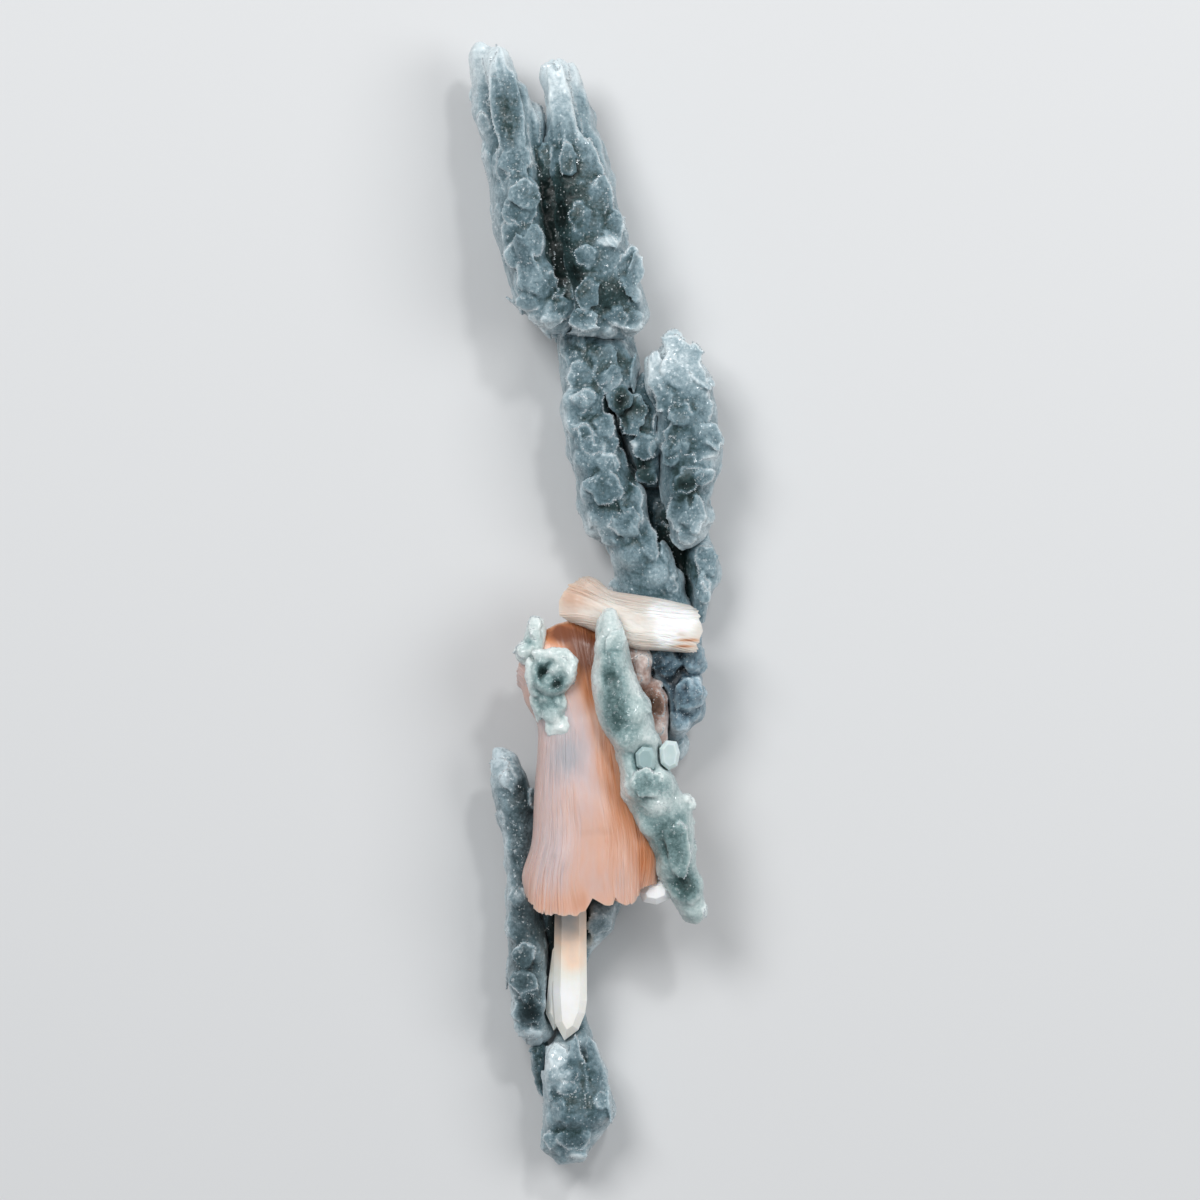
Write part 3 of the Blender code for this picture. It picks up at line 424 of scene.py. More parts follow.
@dataclass(frozen=True)
class CrystalFinish:
    """Heulandite or a single stilbite blade: flat cleavage faces with a glassy to pearly lustre.

    The eye sees smooth planes that catch the light one at a time, a milky body and pale edges.

    Attributes:
        name: Name of the material.
        shades: Colours from the shaded end of the crystal to its palest end.
        clear: Share of the light that passes straight through.
    """

    name: str
    shades: tuple[str, ...]
    clear: float = 0.0
    roughness: float = 0.22
    cloud_mm: float = 3.0
    line_mm: float = 0.5
    glow: tuple[float, float, float] = (1.3, 1.1, 0.9)

    def build(self) -> bpy.types.Material:
        """Make the material."""
        made = bpy.data.materials.new(self.name)
        made.use_nodes = True
        tree = made.node_tree
        shader = tree.nodes["Principled BSDF"]
        place = add_node(tree, "ShaderNodeTexCoord").outputs["Object"]
        in_mm = add_node(
            tree, "ShaderNodeMapping", links={"Vector": place}, values={"Scale": (1 / MM, 1 / MM, 1 / MM)}
        ).outputs[0]
        clouds = add_node(
            tree,
            "ShaderNodeTexNoise",
            links={"Vector": in_mm},
            values={"Scale": 1 / self.cloud_mm, "Detail": 3.0},
        ).outputs[0]
        tone = add_node(tree, "ShaderNodeAttribute", attribute_name="tone").outputs["Fac"]
        level = add_node(
            tree, "ShaderNodeMath", links={0: clouds, 2: tone}, values={1: 0.4}, operation="MULTIPLY_ADD"
        ).outputs[0]
        level = add_node(tree, "ShaderNodeMath", links={0: level}, values={1: 0.2}, operation="SUBTRACT").outputs[0]
        steps = len(self.shades) - 1
        colour = add_ramp(tree, level, [(index / steps, shade) for index, shade in enumerate(self.shades)])
        tree.links.new(colour, shader.inputs["Base Color"])
        lines = add_node(
            tree,
            "ShaderNodeMapping",
            links={"Vector": in_mm},
            values={"Scale": (1 / self.line_mm, 0.05 / self.line_mm, 1 / self.line_mm)},
        ).outputs[0]
        growth = add_node(
            tree, "ShaderNodeTexNoise", links={"Vector": lines}, values={"Scale": 1.0, "Detail": 2.0}
        ).outputs[0]
        bump = add_node(
            tree, "ShaderNodeBump", links={"Height": growth}, values={"Strength": 0.35, "Distance": 0.12 * MM}
        ).outputs[0]
        tree.links.new(bump, shader.inputs["Normal"])
        shader.inputs["Roughness"].default_value = self.roughness
        shader.inputs["IOR"].default_value = 1.5
        shader.inputs["Transmission Weight"].default_value = self.clear
        shader.inputs["Subsurface Weight"].default_value = 0.4
        shader.inputs["Subsurface Radius"].default_value = self.glow
        shader.inputs["Subsurface Scale"].default_value = 1.2 * MM
        shader.inputs["Coat Weight"].default_value = 0.3
        shader.inputs["Coat Roughness"].default_value = 0.08
        return made


@dataclass(frozen=True)
class Spot:
    """Soft spot of tone: its place, half widths and strength, darker below 0 and paler above."""

    x: float
    y: float
    wide: float
    high: float
    tone: float


@dataclass(frozen=True)
class Scale:
    """Petal-like scale on the front, a lens whose free rim stands off the skin.

    Attributes:
        x: Place in millimetres.
        y: Place in millimetres.
        wide: Half width.
        high: Half height.
        lean: Direction of the free rim in degrees, 90 towards the tips.
        tilt: How far the free rim stands off, in degrees.
        turn: Turn of the lens in degrees.
        dome: Half thickness in millimetres.
    """

    x: float
    y: float
    wide: float
    high: float
    lean: float = 90.0
    tilt: float = 6.0
    turn: float = 0.0
    dome: float = 0.38


@dataclass(frozen=True)
class Lump:
    """Plain rounded lump with no free rim: its place, half sizes and turn in degrees."""

    x: float
    y: float
    z: float
    wide: float
    high: float
    deep: float
    turn: float = 0.0


@dataclass(frozen=True)
class Ridge:
    """Line of quartz points on the front, drawn through (x, y) places."""

    points: tuple[tuple[float, float], ...]


@dataclass(frozen=True)
class Section:
    """Curve across a sheaf, from its first edge to its second, with its height and half depth."""

    points: tuple[tuple[float, float], ...]
    height: float
    depth: float


def solid_in_mm(node: str) -> bmesh.types.BMesh:
    """Merged copy of a CAD node's mesh in millimetres."""
    bm = bmesh.new()
    bm.from_mesh(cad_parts[node].data)
    bmesh.ops.scale(bm, vec=(1 / MM, 1 / MM, 1 / MM), verts=bm.verts)
    bmesh.ops.remove_doubles(bm, verts=bm.verts, dist=MERGE_MM)
    return bm


def as_piece(name: str, bm: bmesh.types.BMesh) -> bpy.types.Object:
    """Object made from a bmesh, still in millimetres.

    Args:
        name: Name of the piece.
        bm: Mesh, which is freed.

    Returns:
        The new object, linked to the scene.
    """
    mesh = bpy.data.meshes.new(name)
    bm.to_mesh(mesh)
    bm.free()
    made = bpy.data.objects.new(name, mesh)
    bpy.context.scene.collection.objects.link(made)
    return made


def template_of(operator: Callable, **settings) -> tuple[np.ndarray, list[list[int]]]:
    """Corners and faces of the shape that a bmesh operator makes."""
    bm = bmesh.new()
    operator(bm, **settings)
    corners = np.array([vert.co for vert in bm.verts])
    faces = [[vert.index for vert in face.verts] for face in bm.faces]
    bm.free()
    return corners, faces


def joined_copies(name: str, copies: list[np.ndarray], faces: list[list[int]]) -> bpy.types.Mesh:
    """One mesh of many copies of a template.

    Args:
        name: Name of the mesh.
        copies: Corners of each copy.
        faces: Faces of the template.

    Returns:
        The joined mesh.
    """
    mesh = bpy.data.meshes.new(name)
    count = len(copies[0])
    all_faces = [[corner + count * index for corner in face] for index in range(len(copies)) for face in faces]
    mesh.from_pydata(np.concatenate(copies), [], all_faces)
    return mesh


def bake(piece: bpy.types.Object) -> None:
    """Replace a piece's mesh by its modified shape and drop the modifiers."""
    graph = bpy.context.evaluated_depsgraph_get()
    mesh = bpy.data.meshes.new_from_object(piece.evaluated_get(graph))
    piece.modifiers.clear()
    piece.data = mesh


def add_modifier(piece: bpy.types.Object, kind: str, **settings) -> None:
    """Add a modifier with its settings."""
    modifier = piece.modifiers.new(kind.lower(), kind)
    for name, value in settings.items():
        setattr(modifier, name, value)


def add_relief(piece: bpy.types.Object, kind: str, size: float, height: float, **settings) -> None:
    """Raise a procedural pattern on a piece.

    Args:
        piece: Piece in millimetres.
        kind: Kind of texture.
        size: Size of the pattern in millimetres.
        height: Height from valley to peak in millimetres, negative to turn it over.
        **settings: Further settings of the texture.
    """
    pattern = bpy.data.textures.new(f"{piece.name}_{kind.lower()}", kind)
    pattern.noise_scale = size
    for name, value in settings.items():
        setattr(pattern, name, value)
    add_modifier(
        piece, "DISPLACE", texture=pattern, texture_coords="LOCAL", strength=height, mid_level=0.5
    )


def points_of(mesh: bpy.types.Mesh) -> np.ndarray:
    """Places of a mesh's points, one row each."""
    flat = np.empty(len(mesh.vertices) * 3, np.float32)
    mesh.vertices.foreach_get("co", flat)
    return flat.reshape(-1, 3).astype(float)


def place_points(mesh: bpy.types.Mesh, points: np.ndarray) -> None:
    """Move a mesh's points to new places, one row each."""
    mesh.vertices.foreach_set("co", points.astype(np.float32).ravel())
    mesh.update()


def normals_of(mesh: bpy.types.Mesh) -> np.ndarray:
    """Normals of a mesh's points, one row each."""
    flat = np.empty(len(mesh.vertices) * 3, np.float32)
    mesh.vertex_normals.foreach_get("vector", flat)
    return flat.reshape(-1, 3).astype(float)


def relaxed(points: np.ndarray, ends: np.ndarray, rounds: int) -> np.ndarray:
    """Points moved towards their neighbours' middle, a few rounds.

    Args:
        points: Places, one row each.
        ends: The two points of each edge, one row each.
        rounds: How often the points move.

    Returns:
        The moved points.
    """
    count = len(points)
    first, second = ends[:, 0], ends[:, 1]
    degree = np.maximum(np.bincount(first, minlength=count) + np.bincount(second, minlength=count), 1)
    moved = points
    for _ in range(rounds):
        sums = [
            np.bincount(first, moved[second, axis], count) + np.bincount(second, moved[first, axis], count)
            for axis in range(3)
        ]
        moved = (moved + np.stack(sums, axis=1) / degree[:, None]) / 2
    return moved


def store(mesh: bpy.types.Mesh, name: str, values: np.ndarray) -> None:
    """Keep one number for each point as an attribute."""
    attribute = mesh.attributes.new(name, "FLOAT", "POINT")
    attribute.data.foreach_set("value", values.astype(np.float32))


def tone_from(spots: list[Spot], points: np.ndarray) -> np.ndarray:
    """Sum of soft spots at some points.

    Args:
        spots: The spots.
        points: Places in millimetres.

    Returns:
        One tone for each point, from -1 to 1.
    """
    tone = np.zeros(len(points))
    for spot in spots:
        away = ((points[:, 0] - spot.x) / spot.wide) ** 2 + ((points[:, 1] - spot.y) / spot.high) ** 2
        tone += spot.tone * np.exp(-away)
    return np.clip(tone, -1, 1)


def finish_piece(
    piece: bpy.types.Object, material: bpy.types.Material, nodes: tuple[str, ...] = ()
) -> None:
    """Turn a piece into metres, dress it and hang it on the frame.

    Args:
        piece: Piece in millimetres.
        material: Its finish.
        nodes: CAD nodes that the piece stands for.
    """
    piece.data.transform(Matrix.Diagonal((MM, MM, MM, 1)))
    piece.data.materials.clear()
    piece.data.materials.append(material)
    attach(piece, BODY)
    if nodes:
        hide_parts(*nodes)
    log.info("%s: %d faces", piece.name, len(piece.data.polygons))


@dataclass
class Druse:
    """Small quartz points sown on a skin, each a pyramid sunk into it.

    Attributes:
        height: Height as a multiple of the radius.
        spread: Strongest lean away from the skin's normal.
        sides: Sides of a point.
    """

    height: float = 2.2
    spread: float = 0.45
    sides: int = 5

    def sow(
        self, name: str, places: np.ndarray, normals: np.ndarray, sizes: np.ndarray, dice: np.random.Generator
    ) -> bpy.types.Object:
        """Set a point at every place and join them in one mesh.

        Args:
            name: Name of the new piece.
            places: Places on the skin in millimetres.
            normals: Directions away from the skin.
            sizes: Radius of each point.
            dice: Source of the draws.

        Returns:
            The joined piece, in millimetres.
        """
        point, faces = template_of(
            bmesh.ops.create_cone, cap_ends=True, segments=self.sides, radius1=1, radius2=0, depth=self.height
        )
        point[:, 2] += self.height / 5
        copies = []
        for place, normal, size in zip(places, normals, sizes):
            lean = Vector(normal + dice.normal(size=3) * self.spread)
            turn = lean.to_track_quat("Z", "Y").to_matrix() @ Matrix.Rotation(dice.uniform(0, 6), 3, "Z")
            copies.append(point @ np.array(turn).T * size + place)
        made = bpy.data.objects.new(name, joined_copies(name, copies, faces))
        bpy.context.scene.collection.objects.link(made)
        return made


@dataclass
class Branch:
    """One chalcedony branch: its solid, the scales that cover it, its relief and its tones.

    Attributes:
        node: CAD node whose shape the branch takes.
        slot: Slot of the record; not used.
        seed: Start of the draws.
        scales: Placed scales on the front.
        lumps: Placed lumps, which also bridge the gaps between branches.
        ridges: Placed lines of quartz points on the front.
        spots: Placed spots of tone.
        scattered: How many more scales cover it all round.
        scale_size: Smallest and largest half width of those.
        druse: How many quartz points are sown.
        sparkling: Places where the quartz points crowd, as spots.
        lumpy: Height of the rounded relief in millimetres.
        tone: Tone of the whole branch.
        grain: Fineness of its skin in millimetres.
        softening: Rounds that melt the solid's lumps.
    """

    node: str
    slot: Slot
    seed: int
    scales: list[Scale] = field(default_factory=list)
    lumps: list[Lump] = field(default_factory=list)
    ridges: list[Ridge] = field(default_factory=list)
    spots: list[Spot] = field(default_factory=list)
    scattered: int = 60
    scale_size: tuple[float, float] = (0.9, 1.9)
    druse: int = 500
    sparkling: list[Spot] = field(default_factory=list)
    lumpy: float = 0.1
    tone: float = 0.0
    grain: float = SKIN_GRAIN
    softening: int = SOFTENING

    def soften(self) -> bpy.types.Object:
        """Take the solid and melt its lumps down to a gentle swell."""
        piece = as_piece(f"{self.node}_skin", solid_in_mm(self.node))
        add_modifier(piece, "REMESH", mode="VOXEL", voxel_size=SOFT_GRAIN)
        add_modifier(piece, "SMOOTH", factor=0.5, iterations=self.softening)
        add_modifier(piece, "DISPLACE", strength=SWELL, mid_level=0.0)
        bake(piece)
        return piece

    def shape_scale(
        self, lens: np.ndarray, place: Vector, normal: Vector, scale: Scale
    ) -> tuple[np.ndarray, list[Vector]]:
        """Shape one scale as a lens with a wavy rim.

        Args:
            lens: Corners of a ball of unit radius.
            place: Point on the skin.
            normal: Direction away from the skin.
            scale: Size, lean and tilt of the scale.

        Returns:
            The lens's corners, and places along its free rim.
        """
        up = Vector((0, 1, 0)) - normal * normal.y
        up = up.normalized() if up.length > 0.1 else normal.orthogonal().normalized()
        side = up.cross(normal)
        lean = math.radians(scale.lean)
        axis = (side * math.cos(lean) + up * math.sin(lean)).cross(normal).normalized()
        turn = Matrix.Rotation(-math.radians(scale.tilt), 3, axis) @ Matrix((side, up, normal)).transposed()
        turn = turn @ Matrix.Rotation(math.radians(scale.turn), 3, "Z")
        turn = turn @ Matrix.Diagonal((scale.wide, scale.high, scale.dome))
        shift = Vector((self.seed, 0, 0))

        def wavy(corner: Vector) -> Vector:
            away = turn @ corner
            return place + away * (1 + 0.4 * noise.noise((place + away) * 0.8 + shift))

        reach = math.radians(RIM_HALF_ANGLE)
        middle = lean - math.radians(scale.turn)
        count = max(2, round(reach * (scale.wide + scale.high) / RIM_STEP))
        angles = [middle + reach * (2 * index / (count - 1) - 1) for index in range(count)]
        rim = [wavy(Vector((math.cos(angle), math.sin(angle), 0.1))) for angle in angles]
        return np.array([wavy(Vector(corner)) for corner in lens]), rim

    def front(self, tree: BVHTree, x: float, y: float) -> tuple[Vector, Vector]:
        """Point on the front skin over a place, and its normal.

        Args:
            tree: Tree of the skin's faces.
            x: Place in millimetres.
            y: Place in millimetres.

        Returns:
            The point and the normal.
        """
        place, normal, _, _ = tree.ray_cast(Vector((x, y, ABOVE)), Vector((0, 0, -1)))
        if place is None:
            low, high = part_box(self.node)
            place, normal, _, _ = tree.find_nearest(Vector((x, y, (low.z + high.z) / 2 / MM)))
        return place, normal

    def lay_scales(self, piece: bpy.types.Object) -> list[Vector]:
        """Lay the placed scales on the front and the scattered scales all round.

        Args:
            piece: The softened solid, which gets the scales.

        Returns:
            Places along the free rims and ridges.
        """
        ground = bmesh.new()
        ground.from_mesh(piece.data)
        tree = BVHTree.FromBMesh(ground)
        dice = random.Random(self.seed)
        faces = list(ground.faces)
        areas = [face.calc_area() for face in faces]
        lens, lens_faces = template_of(bmesh.ops.create_uvsphere, u_segments=20, v_segments=8, radius=1)
        shapes, rims = [], []
        for face in dice.choices(faces, areas, k=self.scattered):
            size = dice.uniform(*self.scale_size)
            scale = Scale(
                0, 0, size, size * dice.uniform(0.9, 1.9), dice.uniform(0, 360), dice.uniform(1, 4),
                dice.uniform(-20, 20), 0.14 + 0.07 * size,
            )
            shape, rim = self.shape_scale(lens, face.calc_center_median(), face.normal, scale)
            shapes.append(shape)
            if dice.random() < 0.5:
                rims += rim
        for scale in self.scales:
            place, normal = self.front(tree, scale.x, scale.y)
            normal = (normal + Vector((0, 0, 0.6))).normalized()
            shape, rim = self.shape_scale(lens, place, normal, scale)
            shapes.append(shape)
            rims += rim
        for lump in self.lumps:
            scale = Scale(lump.x, lump.y, lump.wide, lump.high, tilt=0, turn=lump.turn, dome=lump.deep)
            place = Vector((lump.x, lump.y, lump.z))
            shapes.append(self.shape_scale(lens, place, Vector((0, 0, 1)), scale)[0])
        for ridge in self.ridges:
            for (x0, y0), (x1, y1) in zip(ridge.points, ridge.points[1:]):
                steps = max(1, round(math.hypot(x1 - x0, y1 - y0) / RIM_STEP))
                for share in np.arange(steps) / steps:
                    place, _ = self.front(tree, x0 + share * (x1 - x0), y0 + share * (y1 - y0))
                    rims.append(place + Vector((0.4 * noise.noise(place * 0.8), 0, 0.3)))
        ground.from_mesh(joined_copies(f"{self.node}_scales", shapes, lens_faces))
        ground.to_mesh(piece.data)
        ground.free()
        return rims

    def roughen(self, piece: bpy.types.Object) -> None:
        """Melt the scales into the skin, settle it and raise its relief."""
        add_modifier(piece, "REMESH", mode="VOXEL", voxel_size=self.grain)
        add_modifier(piece, "SMOOTH", factor=0.5, iterations=SKIN_SMOOTHING)
        add_relief(piece, "VORONOI", 2.2, -self.lumpy, distance_metric="DISTANCE")
        add_relief(piece, "CLOUDS", 2.2, 0.2, noise_depth=2)
        add_relief(piece, "CLOUDS", 0.5, 0.17, noise_depth=1)
        bake(piece)

    def paint(self, piece: bpy.types.Object, rims: list[Vector]) -> tuple[np.ndarray, np.ndarray, np.ndarray]:
        """Find rims, hollows and flanks, keep them with the tones as painted shade in the hollows and painted light on
        the steep flanks, and settle what dips below the floor.

        Args:
            piece: Piece in millimetres.
            rims: Places along the free rims.

        Returns:
            Points, normals and rims of the piece.
        """
        mesh = piece.data
        points, normals = points_of(mesh), normals_of(mesh)
        points[:, 2] = np.maximum(points[:, 2], 0.0)
        ends = np.empty(len(mesh.edges) * 2, np.int32)
        mesh.edges.foreach_get("vertices", ends)
        ends = ends.reshape(-1, 2)
        fine = relaxed(points, ends, 1)
        broad = relaxed(fine, ends, 9)
        wide = relaxed(broad, ends, 60)
        raised = np.clip(((fine - broad) * normals).sum(1) / RIM_HEIGHT - 0.2, 0, 1)
        lines = KDTree(len(rims))
        for index, place in enumerate(rims):
            lines.insert(place, index)
        lines.balance()
        away = np.array([lines.find(point)[2] or ABOVE for point in points])
        rim = np.clip(0.4 * raised + np.exp(-((away / RIM_WIDTH) ** 2)), 0, 1)
        # Painted shade: the further the skin dips below its broad shape, the darker it is painted.
        hollow = np.clip(((wide - fine) * normals).sum(1) / HOLLOW_DEPTH, -0.3, 1)
        # Painted light: flanks that are steep as seen from above are paled, for light through the thin translucent
        # margins.
        place_points(mesh, wide)
        flank_light = np.clip((0.92 - np.abs(normals_of(mesh)[:, 2])) / 0.5, 0, 1)
        place_points(mesh, points)
        store(mesh, "rim", rim)
        store(mesh, "hollow", hollow)
        store(mesh, "tone", np.clip(tone_from(self.spots, points) + self.tone + PAINTED_FLANK_LIGHT * flank_light, -1, 1))
        return points, normals, rim

    def grow_druse(
        self, points: np.ndarray, normals: np.ndarray, rim: np.ndarray, rims: list[Vector]
    ) -> bpy.types.Object:
        """Grow quartz points here and there, where they crowd, and along the rims.

        Args:
            points: Points of the skin in millimetres.
            normals: Normals of the skin.
            rim: How much of a rim each point is.
            rims: Places along the free rims.

        Returns:
            The joined quartz points, in millimetres.
        """
        dice = np.random.default_rng(self.seed)
        weights = 0.1 + rim + 6 * np.maximum(tone_from(self.sparkling, points), 0)
        weights *= points[:, 2] > 1.0
        chosen = dice.choice(len(points), size=self.druse, p=weights / weights.sum())
        near = KDTree(len(points))
        for index, point in enumerate(points):
            near.insert(point, index)
        near.balance()
        along = [near.find(place)[1] for place in rims if place.z > 1.0 and dice.uniform() < 0.8]
        both = np.concatenate([chosen, along]).astype(int)
        sizes = 0.04 + 0.08 * dice.uniform(size=len(both)) ** 2
        sizes[self.druse :] = dice.uniform(0.09, 0.19, len(along))
        return Druse().sow(f"{self.node}_druse", points[both], normals[both], sizes, dice)

    def build(self, finish: bpy.types.Material, quartz: bpy.types.Material) -> None:
        """Build the branch and its druse.

        Args:
            finish: The chalcedony's material.
            quartz: The druse's material.
        """
        piece = self.soften()
        rims = self.lay_scales(piece)
        self.roughen(piece)
        points, normals, rim = self.paint(piece, rims)
        piece.data.shade_smooth()
        finish_piece(piece, finish, (self.node,))
        finish_piece(self.grow_druse(points, normals, rim, rims), quartz)


@dataclass
class Sheaf:
    """A stilbite sheaf: thin plates that spread from a waist and end raggedly.

    Attributes:
        node: CAD node that the sheaf stands for.
        slot: Slot of the record; not used.
        sections: Curves across the sheaf, from its lower or left end to the other.
        warm_and_light: Spots of warmer colour above 0, cooler below; some are painted light: painted shade that browns
            a lobe turned away, and a painted highlight that whitens a facet.
        seed: Start of the draws.
        warmth_and_light: Warmth of a plain spot.
        columns: Points round a section.
        rows: Rings along the sheaf.
        rib: Height of the plates' steps in millimetres.
        ragged: How far plates end before or after their neighbours.
        fullness: How boxy a section is: 2 is an ellipse.
        dish: How deep the ends are dished.
    """

    node: str
    slot: Slot
    sections: list[Section]
    warm_and_light: list[Spot]
    seed: int
    warmth_and_light: float = 0.4
    columns: int = 360
    rows: int = 110
    rib: float = 0.26
    ragged: float = 0.3
    fullness: float = 4.5
    dish: float = 0.9

    def plates(self) -> np.ndarray:
        """Step height, end slip and reach from the nearer end of every column, one row each."""
        dice = random.Random(self.seed)
        columns = []
        while len(columns) < self.columns:
            width = dice.choice((1, 1, 2, 2, 3, 4, 6))
            height, slip, reach = dice.uniform(-1, 0.3), dice.uniform(-1, 1), dice.uniform(0.1, 1.2)
            for _ in range(width):
                uneven = dice.uniform(-0.08, 0.08)
                columns.append((height * self.rib, slip * self.ragged + uneven, reach))
        return np.array(columns[: self.columns]).T

    @staticmethod
    def along_curve(points: tuple[tuple[float, float], ...], shares: np.ndarray) -> np.ndarray:
        """Places on a curve at shares of its length.

        Args:
            points: Corners of the curve.
            shares: Shares of the length, from 0 to 1.

        Returns:
            One (x, y) row for each share.
        """
        corners = np.array(points, float)
        steps = np.hypot(*np.diff(corners, axis=0).T)
        reached = np.concatenate([[0], np.cumsum(steps)]) / steps.sum()
        return np.stack([np.interp(shares, reached, corners[:, axis]) for axis in (0, 1)], axis=1)

    @staticmethod
    def smoothly(stations: np.ndarray, values: np.ndarray, at: float) -> np.ndarray:
        """Smooth curve through values at stations, read at one place.

        Args:
            stations: Places of the values along the curve.
            values: One array for each station.
            at: Place to read.

        Returns:
            The value there.
        """
        index = int(np.clip(np.searchsorted(stations, at) - 1, 0, len(stations) - 2))
        share = (at - stations[index]) / (stations[index + 1] - stations[index])
        before, after = max(index - 1, 0), min(index + 2, len(stations) - 1)
        gap = stations[index + 1] - stations[index]
        start = (values[index + 1] - values[before]) / (stations[index + 1] - stations[before]) * gap
        end = (values[after] - values[index]) / (stations[after] - stations[index]) * gap
        cube, square = share**3, share**2
        return (
            (2 * cube - 3 * square + 1) * values[index]
            + (cube - 2 * square + share) * start
            + (3 * square - 2 * cube) * values[index + 1]
            + (cube - square) * end
        )

    def rings(self) -> np.ndarray:
        """Places of every column in every row, in millimetres."""
        angles = 2 * np.pi * np.arange(self.columns) / self.columns
        power = 2 / self.fullness
        side = np.sign(np.cos(angles)) * np.abs(np.cos(angles)) ** power
        lift = np.sign(np.sin(angles)) * np.abs(np.sin(angles)) ** power
        heights, slips, reaches = self.plates()
        curves = np.array([self.along_curve(section.points, (1 + side) / 2) for section in self.sections])
        middles = curves.mean(axis=1)
        stations = np.concatenate([[0], np.cumsum(np.hypot(*np.diff(middles, axis=0).T))])
        widths = np.array([np.ptp(curve, axis=0).max() for curve in curves])
        spreads = 0.35 + 0.65 * (widths - widths.min()) / (widths.max() - widths.min())
        levels = np.array([[section.height, section.depth] for section in self.sections])
        made = []
        for row in range(self.rows + 1):
            at = stations[-1] * row / self.rows
            flat = self.smoothly(stations, curves, at)
            height, depth = self.smoothly(stations, levels, at)
            inward = 2 * min(row, self.rows - row) / self.rows
            step = heights * np.clip((reaches - inward) * self.rows / 5, 0, 1)
            step *= float(np.interp(at, stations, spreads))
            ripple = [
                0.2 * noise.noise(Vector((column * 0.13, at * 0.25, self.seed))) for column in range(self.columns)
            ]
            rise = height + lift * (depth + (step + ripple) * np.abs(np.sin(angles)))
            made.append(np.column_stack([flat, rise]))
        rings = np.array(made)
        reach = max(2, self.rows // 10)
        for end, step in ((0, 1), (self.rows, -1)):
            away = rings[end] - rings[end + step * reach]
            away /= np.maximum(np.linalg.norm(away, axis=1), 0.01)[:, None]
            for row in range(reach):
                rings[end + step * row] += away * (slips * (1 - row / reach) ** 2)[:, None]
        return rings

    def skin(self) -> bmesh.types.BMesh:
        """Tube of columns and rows, moved onto the sheaf's skin, with dished ends and plate marks."""
        bm = bmesh.new()
        bmesh.ops.create_cone(bm, cap_ends=True, segments=self.columns, radius1=1, radius2=1, depth=1)
        upright = [edge for edge in bm.edges if abs(edge.verts[0].co.z - edge.verts[1].co.z) > 0.5]
        bmesh.ops.subdivide_edges(bm, edges=upright, cuts=self.rows - 1, use_grid_fill=True)
        marks = bm.loops.layers.uv.new("plates")
        turn = 2 * math.pi
        for face in bm.faces:
            around = [math.atan2(loop.vert.co.y, loop.vert.co.x) % turn / turn for loop in face.loops]
            wraps = max(around) - min(around) > 0.5 and len(around) < 5
            for loop, share in zip(face.loops, around):
                loop[marks].uv = (share + 1 if wraps and share < 0.5 else share, loop.vert.co.z + 0.5)
        rings = self.rings()
        for vert in bm.verts:
            column = round(math.atan2(vert.co.y, vert.co.x) % turn / turn * self.columns) % self.columns
            vert.co = rings[round((vert.co.z + 0.5) * self.rows), column]
        for cap in [face for face in bm.faces if len(face.verts) > 4]:
            self.dish_end(bm, cap)
        if bm.calc_volume(signed=True) < 0:
            bmesh.ops.reverse_faces(bm, faces=bm.faces)
        return bm

    def dish_end(self, bm: bmesh.types.BMesh, cap: bmesh.types.BMFace) -> None:
        """Draw an end face in towards its middle in steps, and sink it."""
        ring = list(cap.verts)
        middle = sum((vert.co for vert in ring), Vector()) / len(ring)
        inward = (sum((edge.other_vert(vert).co for vert in ring for edge in vert.link_edges), Vector())
                  / sum(len(vert.link_edges) for vert in ring) - middle).normalized()
        for share, sink in ((0.9, 0.25), (0.72, 0.6), (0.4, 1.0)):
            raised = bmesh.ops.extrude_discrete_faces(bm, faces=[cap])["faces"]
            cap = raised[0]
            for vert in cap.verts:
                vert.co = middle + (vert.co - middle) * share + inward * sink * self.dish
        bmesh.ops.triangulate(bm, faces=[cap])

    def build(self, finish: bpy.types.Material) -> None:
        """Build the sheaf."""
        piece = as_piece(f"{self.node}_plates", self.skin())
        points = points_of(piece.data)
        # Colour spots and painted light together: painted shade on the fan's upper lobe, and a painted highlight on the
        # bow-tie's right facet.
        store(piece.data, "warmth_and_light", tone_from(self.warm_and_light, points) + self.warmth_and_light)
        piece.data.shade_smooth()
        piece.data.set_sharp_from_angle(angle=math.radians(35))
        finish_piece(piece, finish, (self.node,))


